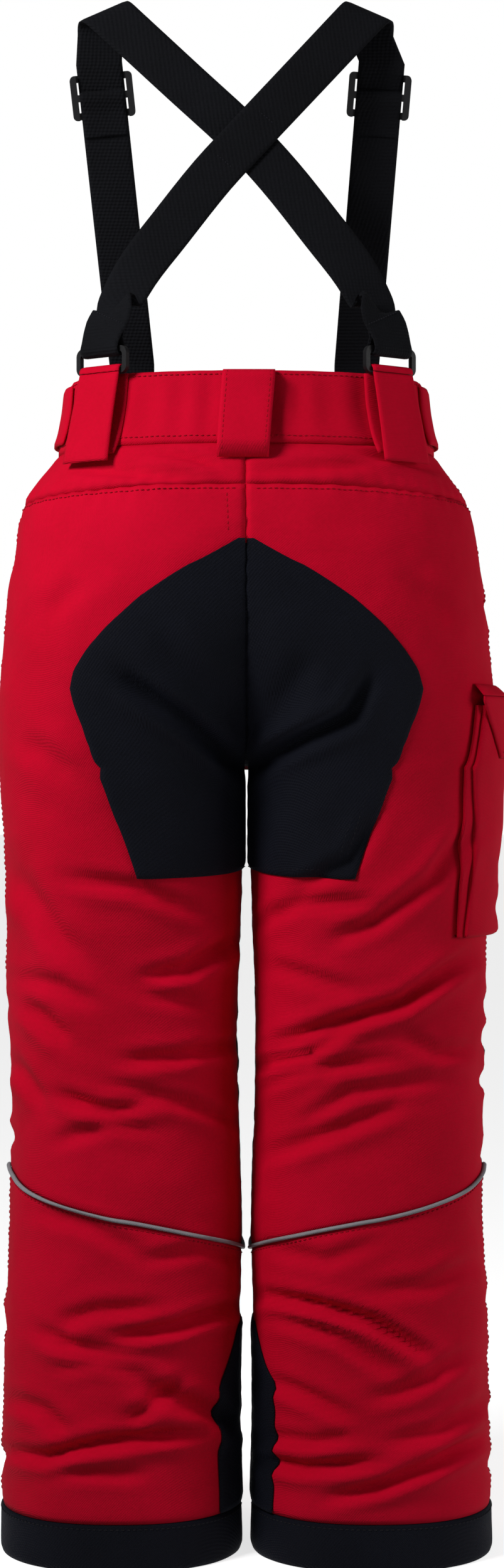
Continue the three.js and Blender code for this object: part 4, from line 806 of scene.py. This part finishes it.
def shoulder_fold(side, name):
    """Flat webbing rolled round a tilted axis: u runs along the strap, from behind to in front, and v across it."""
    x, _, _, turn = SHOULDER[name]
    axis = np.array([-side * math.cos(FOLD_TILT), 0, math.sin(FOLD_TILT)])
    rise = np.array([side * math.sin(FOLD_TILT), 0, math.cos(FOLD_TILT)])
    ahead = np.array([0.0, 1.0, 0.0])
    centre = np.array([side * x, 0.0, SHOULDER_Z])

    def fold(u, v, lift):
        sign = -side * v
        round_it = u * math.cos(turn) + sign * math.sin(turn)
        along = -u * math.sin(turn) + sign * math.cos(turn)
        angle = min(max(round_it / ROLL, -WRAP_BACK), WRAP_FRONT)
        n = rise * math.cos(angle) + ahead * math.sin(angle)
        onward = ahead * math.cos(angle) - rise * math.sin(angle)
        return centre + n * (ROLL + lift) + onward * (round_it - angle * ROLL) + axis * along
    return fold


def brace_rows(side, name):
    """The strap's rows, each a function of the distance across and the lift."""
    far = -side
    fr = ring_frame(far)
    ply = WEB / 2 + 0.25
    loop = RING_BAR / 2 + RING_SLACK + WEB / 2

    def leant(y, up, inwards):
        p = in_frame(fr, y, RING_PITCH + up)
        p[0] -= far * inwards
        return p

    st = [(leant(-ply - 0.4, 15, 1.2), -fr[1]), (leant(-ply - 0.5, 8, 0), -fr[1])]
    st += round_bar(fr, RING_PITCH, loop, math.pi * 0.93, math.pi * 2.07, 14)
    st += [(leant(ply + 0.5, 8, 0), fr[1]), (leant(ply + 0.4, 14, 1.6), fr[1]), (leant(ply, 24, 7), fr[1])]
    off = side * (WEB / 2 + 0.45)
    on_back = lambda x, up: np.array([x, back_y(WAIST_Z + up), WAIST_Z + up]) + BACK_N * off
    crossing = on_back(0, CROSSING_Z - WAIST_Z)
    fold = shoulder_fold(side, name)
    high = fold(-FOLD_HALF, 0, 0)
    cross = [*(on_back(far * x, up) for x, up in BACK_ROUTE), crossing, mix(crossing, high, 0.5), high]
    fold_n = fold(-FOLD_HALF, 0, 1) - high
    first = 1 / (len(cross) + 1)
    us = [mix(first, 1, (i + 1) / 26) for i in range(25)]
    for i, p in enumerate(centripetal([st[-2][0], st[-1][0], *cross], us)):
        n = mix(fr[1], BACK_N, min((i + 1) / 10, 1))
        n = mix(n, fold_n, min(max((p[2] - crossing[2]) / (high[2] - crossing[2]), 0), 1))
        st.append((p, unit(n)))
    rows = [flat_row(*r) for r in frames(resample(st + [(high, unit(fold_n))], STRAP_STEP)[0])][:-1]
    rows += [(lambda v, lift, u=u: fold(u, v, lift)) for u in np.linspace(-FOLD_HALF, FOLD_HALF, 33)]
    top, end, _, normal = front_run(side, name)
    k = foot_k(side, name)
    bn = normal_at(k, WAIST_Z, side)
    on_band = lambda h: waist(k, h, BAND + LAYER + WEB / 2)
    low = end.copy()
    low[2] = WAIST_Z + 8
    st = [(mix(top, end, i / 6), normal) for i in range(7)]
    st.append((mix(on_band(WAIST_Z + 8), low, 0.3), unit(mix(normal, bn, 0.7))))
    st += [(on_band(h), bn) for h in (WAIST_Z - 2, WAIST_Z - 14, WAIST_Z - 30)]
    return rows + [flat_row(*r) for r in frames(resample(st, STRAP_STEP)[0])]


def run_along(points):
    """How far along a line each of its points is."""
    return np.concatenate([[0], np.cumsum(np.linalg.norm(np.diff(points, axis=0), axis=1))])


def strap_grids(rows, width, thick, across=13):
    """Two grids of points for a strap, its faces slightly turned over at the edges."""
    u = np.linspace(-0.5, 0.5, across)
    edge = np.exp(-(0.5 - np.abs(u)) * width / 0.6) * 0.35
    return [np.array([[r(x * width, sign * (thick / 2 - e)) for x, e in zip(u, edge)] for r in rows])
            for sign in (1, -1)]


def strap_piece(name, rows, width, thick, material, body, nodes):
    o = declare(new_object(name, *slab(*strap_grids(rows, width, thick)), material), body, nodes)


TAB_EDGE = dict(thick=TAB_CLOTH, lift=TAB_CLOTH, roll=0.6, reach=0.8)
BRACES = {}
for name, side in SIDES:
    BRACES[name] = rows = brace_rows(side, name)
    length = run_along(np.array([row(0.0, 0.0) for row in rows]))[-1]
    strap_piece(f"brace_web_{name}", rows, WEB_WIDTH, WEB, WEBBING, "trousers", [f"brace_{name}"])

    # The ring's cloth tab.
    fr = ring_frame(side)

    def base_at(s, t, lift):
        k = side * (TAB_K + (s - 0.5) * TAB_WIDTH * per_mm(TAB_K))
        return waist(k, mix(WAIST_Z - 1, 721, t), lift + BAND + LAYER)

    sheet_piece(f"tab_base_{name}", base_at, [f"rear_tab_base_{name}"], 16, 24, size=(33, 54), flat=(0.034, 0.056),
                **TAB_EDGE)
    turn = [(in_frame(fr, -FOLD_R, -BAR_UP + 0.1), -fr[1]), *round_bar(fr, 0, FOLD_R, math.pi, 0, 20),
            (in_frame(fr, FOLD_R, -BAR_UP + 0.4), fr[1])]
    strap_piece(f"tab_fold_{name}", [flat_row(*row) for row in frames(turn)], TAB_WIDTH, TAB_CLOTH, RED, "trousers",
                [f"rear_tab_fold_{name}"])

    def leaf_at(s, t, lift):
        x = ((s - 0.5) * (TAB_WIDTH - 0.4))[..., None]
        across = np.array([-fr[1][1], fr[1][0], 0]) * side
        top = in_frame(fr, FOLD_R - TAB_CLOTH / 2, -BAR_UP) + across * x
        k = side * (TAB_K + x[..., 0] * per_mm(TAB_K))
        low = waist(k, float(TAB_FOOT_Z), TAB_LIFT + TAB_CLOTH + 2 * LAYER)
        p = mix(top, low, t[..., None])
        p[..., 2] = mix(WAIST_Z, TAB_FOOT_Z, t)
        # It is nearly flat, with a slight curl at its free edges.
        curl = 0.5 * np.sin(np.pi * t) * np.abs(2 * s - 1) ** 3
        return p + fr[1] * (lift + curl)[..., None]

    node = f"rear_tab_leaf_{name}"
    sheet_piece(f"tab_leaf_cloth_{name}", leaf_at, [node], 16, 28, node, thick=1.7, lift=1.7, size=(32, 59), roll=0.6,
                reach=0.8, flat=(0.032, 0.060), held="hung", on=[f"ring_{name}"])

    k0 = foot_k(side, name)

    def front_tab_at(s, t, lift):
        k = k0 + (s - 0.5) * TAB_WIDTH * per_mm(k0)
        return waist(k, mix(WAIST_Z - 6, WAIST_Z - 36, t), lift + BAND + 4.8)

    sheet_piece(f"front_tab_cloth_{name}", front_tab_at, [f"front_tab_{name}"], 16, 14, size=(33, 30),
                flat=(0.034, 0.031), **TAB_EDGE)

# The strap's end goes round the slider's middle bar, on the wearer's side, and is sewn to itself below.
SLIDER_DOWN = 22  # from the top of the straight front run to the slider's middle bar
END_LOOP = ((-1.7, 3.35), (-2.9, 3.3), (-3.9, 2.6), (-4.15, 1.2), (-4.15, -1.2), (-3.9, -2.8), (-3.2, -4.6),
            (-2.4, -7.5), (-1.9, -11), (-1.85, -26.5))
for name, side in SIDES:
    top, _, along, normal = front_run(side, name)
    middle = top + along * SLIDER_DOWN
    line = [middle + normal * y - along * z for y, z in END_LOOP]
    turned = [unit(np.cross(np.cross(normal, along), b - a)) for a, b in zip(line, line[1:])]
    turned.append(turned[-1])
    turned = [n if np.dot(n, normal * (y + 1)) > 0 else -n for n, (y, _) in zip(turned, END_LOOP)]
    path, length = resample(list(zip(line, turned)), 1.2)
    strap_piece(f"brace_end_{name}", [flat_row(*row) for row in frames(path)], WEB_WIDTH - 0.4, WEB - 0.2, WEBBING,
                f"slider_{name}", None)

# ---------------------------------------------------------------- cargo pocket
P_BACK, P_FRONT, P_DEPTH, P_FOOT_Z = -0.275, 0.33, 6.2, 409
P_WIDE, P_TALL = 128, 156
FLAP_OUT, FLAP_PAST = LAYER + P_DEPTH + 1.2, 0.012
FLAP_Z, FLAP_SEAM_Z, FLAP_FOOT_Z = 574, 566, 526
# The bag's edge in section, from its seam on the leg: distance along the cloth, in from the outline, and out.
BELLOWS = np.array([(0, 3, 0), (1.6, 0.6, 1.3), (3.4, 0, 2.7), (6.6, 7, 2.9), (8.6, 8, 3.5), (10.6, 5.4, 4.6),
                    (12.6, 6.6, 6.0), (15, 9, 6.3), (64, 58, 6.4)], float)
HEM_FOLD = np.array([(0, 2, 0), (2, 0, 1.6), (5, 0.4, 5.2), (7, 2.2, 6.2), (160, 155.2, 6.4)], float)


def pocket_at(s, t, lift):
    """The outer cloth: it comes out of the leg in a bellows fold at either side and is slack in the middle."""
    s = s - 0.11 * np.sin(2 * np.pi * s)
    t = t + 0.08 * np.sin(np.pi * t) ** 2
    side_d, low_d = np.minimum(s, 1 - s) * P_WIDE, (1 - t) * P_TALL
    z = P_FOOT_Z + np.interp(low_d, HEM_FOLD[:, 0], HEM_FOLD[:, 1])
    inward = np.interp(side_d, BELLOWS[:, 0], BELLOWS[:, 1])
    wave = 2.4 * np.sin((z - 430) / 22) * np.exp(-(((side_d - 11) / 5) ** 2))
    out = np.minimum(np.interp(side_d, BELLOWS[:, 0], BELLOWS[:, 2]),
                     np.interp(low_d, HEM_FOLD[:, 0], HEM_FOLD[:, 2]))
    back = P_BACK + 0.005 * np.sin((z - P_FOOT_Z) / 36)
    half = (P_FRONT - back) / 2
    share = np.minimum(1, (inward + wave) / (P_WIDE / 2 - 2))
    psi = np.where(s < 0.5, back + half * share, P_FRONT - half * share)
    slack = 0.5 * np.sin(9 * psi + 0.03 * z) * smooth(side_d / 30) * smooth(low_d / 30)
    return skin(1, psi, z, lift + LAYER + out + slack)


def flap_base_at(s, t, lift):
    psi = mix(P_BACK - FLAP_PAST, P_FRONT + FLAP_PAST, s)
    return skin(1, psi, mix(FLAP_Z, FLAP_SEAM_Z + 0.3, t), lift + mix(LAYER, FLAP_OUT, t))


def flap_at(s, t, lift):
    wave = 0.5 * np.sin(9 * s) * t
    cut = 0.13 * np.clip((t - 0.08) / 0.92, 0, 1)  # its back corner is cut off
    psi = mix(P_BACK - FLAP_PAST + cut, P_FRONT + FLAP_PAST, s)
    return skin(1, psi, mix(FLAP_SEAM_Z, FLAP_FOOT_Z, t), lift + FLAP_OUT + wave)


sheet_piece("cargo_pocket_cloth", pocket_at, ["cargo_pocket"], 90, 76, thick=1.2, size=(115, 156), roll=0.4, reach=1.0,
            flat=(0.152, 0.166), held="folded", on=["back_leg_right"])
sheet_piece("cargo_flap_base_cloth", flap_base_at, ["cargo_flap_base"], 64, 6, thick=1.5, lift=1.5, size=(120, 12),
            roll=0.5, reach=0.8, flat=(0.125, 0.013), held="folded", on=["back_leg_right"])
sheet_piece("cargo_flap_cloth", flap_at, ["cargo_flap"], 64, 22, "cargo_flap", thick=1.5, lift=1.5, size=(120, 40),
            roll=0.6, reach=1.0, flat=(0.128, 0.042), held="hung", on=["cargo_pocket_cloth"])

# ---------------------------------------------------------------- zips
BOX_FACES = ((0, 1, 3, 2), (4, 6, 7, 5), (0, 4, 5, 1), (2, 3, 7, 6), (0, 2, 6, 4), (1, 5, 7, 3))
TOOTH_PITCH = 1.5


def boxes(name, centres, axes, size, material):
    """Small blocks at given points, along three axes."""
    x, y, z = (a * h / 2 for a, h in zip(axes, size))
    verts, faces = [], []
    for c in centres:
        n = len(verts)
        verts += [c + i * x + j * y + k * z for i in (-1, 1) for j in (-1, 1) for k in (-1, 1)]
        faces += [tuple(n + i for i in face) for face in BOX_FACES]
    return new_object(name, verts, faces, material, smooth_shade=False)


def zip_pieces(name, origin, out, up, length, width):
    across = np.cross(out, up)

    def tape_at(s, t, lift):
        return (origin + across * ((s - 0.5) * width)[..., None] - up * (t * length)[..., None]
                + out * (1 + lift)[..., None])

    sheet_piece(f"{name}_tape", tape_at, [f"{name}_zip"], 12, 60, slot="dark_lining", thick=0.9, size=(width, length),
                roll=0.25, reach=0.6, flat=(width * MM, length * MM))
    rows = np.arange(1.0, length - 1, TOOTH_PITCH)
    for row, half, shift in (("a", -1, 0), ("b", 1, TOOTH_PITCH / 2)):
        at = [origin + across * (half * 0.95) + out * 1.55 - up * (r + shift) for r in rows]
        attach(boxes(f"{name}_teeth_{row}", at, (across, out, up), (2.5, 1.2, 0.8), ZIP), "trousers")


for name, side in SIDES:
    top, foot, middle = (skin(side, a, z, drape=False) for a, z in ((0.62, 720.0), (0.36, 630.0), (0.49, 675.0)))
    up = unit(top - foot)
    n = lobe_normal(0.49 * seam_angle(middle[2], 0.0), middle[2]) * np.array([side, 1, 1])
    out = unit(n - up * np.dot(n, up))
    stand = np.dot(middle - foot, out) + 0.5
    zip_pieces(f"hand_pocket_{name}", top + out * stand, out, up, 90, 12)
top, foot = (waist(2.0, z, -5.7) * np.array([0, 1, 1]) for z in (725.0, 622.0))
up = unit(top - foot)
zip_pieces("fly", top, np.array([0, up[2], -up[1]]), up, float(np.linalg.norm(top - foot)), 27)

# ---------------------------------------------------------------- stitching


def stitches(name, path, body, material=THREAD, length=2.6, gap=1.1, girth=0.42):
    """A row of stitches: short beads that follow a line of (points, outward) pairs, in millimetres."""
    points, normals = (np.asarray(a, float) for a in path)
    d = run_along(points)
    verts, faces = [], []
    for start in np.arange(0.5, d[-1] - length, length + gap):
        a, b = (np.array([np.interp(x, d, points[:, i]) for i in range(3)]) for x in (start, start + length))
        n = unit(np.array([np.interp(start, d, normals[:, i]) for i in range(3)]))
        u = unit(b - a)
        w = np.cross(u, n)
        ring = [w, n, -w, -n]
        base = len(verts)
        verts += [a - n * 0.15, *(a + u * length * 0.2 + r * girth for r in ring),
                  *(b - u * length * 0.2 + r * girth for r in ring), b - n * 0.15]
        for i in range(4):
            j = (i + 1) % 4
            faces += [(base, base + 1 + j, base + 1 + i), (base + 1 + i, base + 1 + j, base + 5 + j, base + 5 + i),
                      (base + 9, base + 5 + i, base + 5 + j)]
    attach(new_object(name, verts, faces, material), body)


def line_on(at, s, t, lift):
    """A line on a sheet's surface, with the direction that the sheet faces along it."""
    s, t, lift = np.broadcast_arrays(s, t, float(lift))
    p = at(s, t, lift)
    return p, unit(at(s, t, lift + 1) - p)


def seam_line(side, psi, z, lift):
    return line_on(lambda p, h, up: skin(side, p, h, up), psi, z, lift)


for name, side in SIDES:
    def seam_stitch(part, psi, z, lift=0.1, body="trousers", material=THREAD):
        stitches(f"{part}_{name}", seam_line(side, psi, z, lift), body, material)

    # Two rows inside the seat patch's edge, and one along its foot.
    z = np.linspace(PATCH_TOP, PATCH_LOW, 260)
    for row, inset in enumerate((0.035, 0.052)):
        psi = -np.minimum(seat_edge(z) + inset, 0.985)
        seam_stitch(f"seat_stitch_{row}", psi, np.clip(z, PATCH_LOW + 4, PATCH_TOP - 4), 1.95, material=DARK_THREAD)
    foot = np.linspace(seat_edge(PATCH_LOW + 2) + 0.02, 0.98, 120)
    seam_stitch("seat_foot_stitch", -foot, PATCH_LOW + 6.0, 1.95, material=DARK_THREAD)
    psi = np.linspace(0.02, 0.985, 200)
    seam_stitch("yoke_stitch", -psi, yoke_z(psi) - 3.2)
    if side < 0:  # the centre seam is topstitched on its left alone
        stitches("centre_stitch", seam_line(side, -0.955, np.linspace(695, PATCH_TOP + 3, 60), 0.1), "trousers")
    for part, psi in (("back", -0.016), ("front", 0.016)):
        seam_stitch(f"side_stitch_{part}", psi, np.linspace(BAND_Z - 6, 384, 300))
        seam_stitch(f"low_stitch_{part}", psi, np.linspace(250, HEM_Z + 4, 200), body=f"{name}_shin")
    p = np.linspace(-0.99, 0.99, 500)
    seam_stitch("piping_stitch", p, piping_z(p) - 3.6, body=f"{name}_shin")
    seam_stitch("hem_stitch", p, HEM_Z - 2.6, 0.5, f"{name}_shin", DARK_THREAD)

for node, k0, k1, _ in BANDS:
    s = np.linspace(0.01, 0.99, 300)
    for row, t in enumerate((0.06, 0.92)):
        stitches(f"{node}_stitch_{row}", line_on(band_at(k0, k1), s, t, BAND + 0.05), "trousers")
for row, s in enumerate((0.09, 0.91)):
    t = np.linspace(0.04, 0.96, 60)
    stitches(f"belt_stitch_{row}", line_on(belt_at, s, t, 1.7), "trousers")
# Short bars of thread where the straps' ends are sewn, and where the crossing is tacked.
for name, side in SIDES:
    rows = BRACES[name]
    middle = np.array([row(0.0, 0.75) for row in rows])
    behind = [i for i, far in enumerate(run_along(middle)) if middle[i][1] < 0 and far > 40]
    tacks = ((812, 14), (951, 7), (921, 7)) if side > 0 else ((812, 14),)  # the outer strap shows the crossing's
    for tack, (at_z, half) in enumerate(tacks):
        row = rows[min(behind, key=lambda i: abs(middle[i][2] - at_z))]
        a, b = (np.array([row(v, lift) for v in np.linspace(-half, half, 12)]) for lift in (0.75, 1.75))
        stitches(f"tack_{tack}_{name}", (a, unit(b - a)), "trousers", DARK_THREAD, length=1.6, gap=0.6)
s = np.linspace(0.03, 0.97, 160)
stitches("flap_stitch", line_on(flap_at, s, 0.9, 1.5), "cargo_flap")

# ---------------------------------------------------------------- carried-over hardware
for node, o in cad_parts.items():
    if o.hide_render:
        continue
    material = ZIP if "zip" in node else PLASTIC
    for material_slot in o.material_slots:
        material_slot.material = material

# ---------------------------------------------------------------- floor and light
FLOOR_Z = -0.35  # just clear of the hems
bpy.ops.mesh.primitive_plane_add(size=40, location=(0, 8, FLOOR_Z * MM))
floor = bpy.context.object
floor.name = "floor"
pale = Nodes("pale floor")
grain = pale.add("ShaderNodeTexNoise", {"Scale": 3.0})
pale.ramp(grain.outputs["Fac"], (0.90, 0.90, 0.90), (0.94, 0.94, 0.94))
pale.fixed(Roughness=0.9, Specular_IOR_Level=0.1, Emission_Color=(1, 1, 1, 1), Emission_Strength=0.72)
floor.data.materials.append(pale.mat)
floor.visible_diffuse = False  # its own glow is only for the picture

# A white studio: it shows white, and lights the trousers more weakly than the lamps do.
world = bpy.data.worlds.new("studio")
bpy.context.scene.world = world
world.use_nodes = True
tree = world.node_tree
sky = tree.nodes["Background"]
sky.inputs["Color"].default_value = (1, 1, 1, 1)
path = tree.nodes.new("ShaderNodeLightPath")
strength = tree.nodes.new("ShaderNodeMapRange")
strength.inputs["To Min"].default_value = 0.13
strength.inputs["To Max"].default_value = 1.0
tree.links.new(path.outputs["Is Camera Ray"], strength.inputs["Value"])
tree.links.new(strength.outputs["Result"], sky.inputs["Strength"])
bpy.context.scene.view_settings.view_transform = "Standard"


def lamp(name, place, aim, size, power):
    light = bpy.data.lights.new(name, "AREA")
    light.size, light.energy = size, power
    o = bpy.data.objects.new(name, light)
    bpy.context.collection.objects.link(o)
    o.location = place
    d = np.array(aim) - np.array(place)
    o.rotation_euler = (math.atan2(math.hypot(d[0], d[1]), -d[2]), 0, math.atan2(-d[0], d[1]))


lamp("key", (-0.9, -0.8, 1.35), (0, 0, 0.72), 0.45, 17)
lamp("fill", (2.0, -0.5, 0.6), (0, 0, 0.5), 1.0, 14)
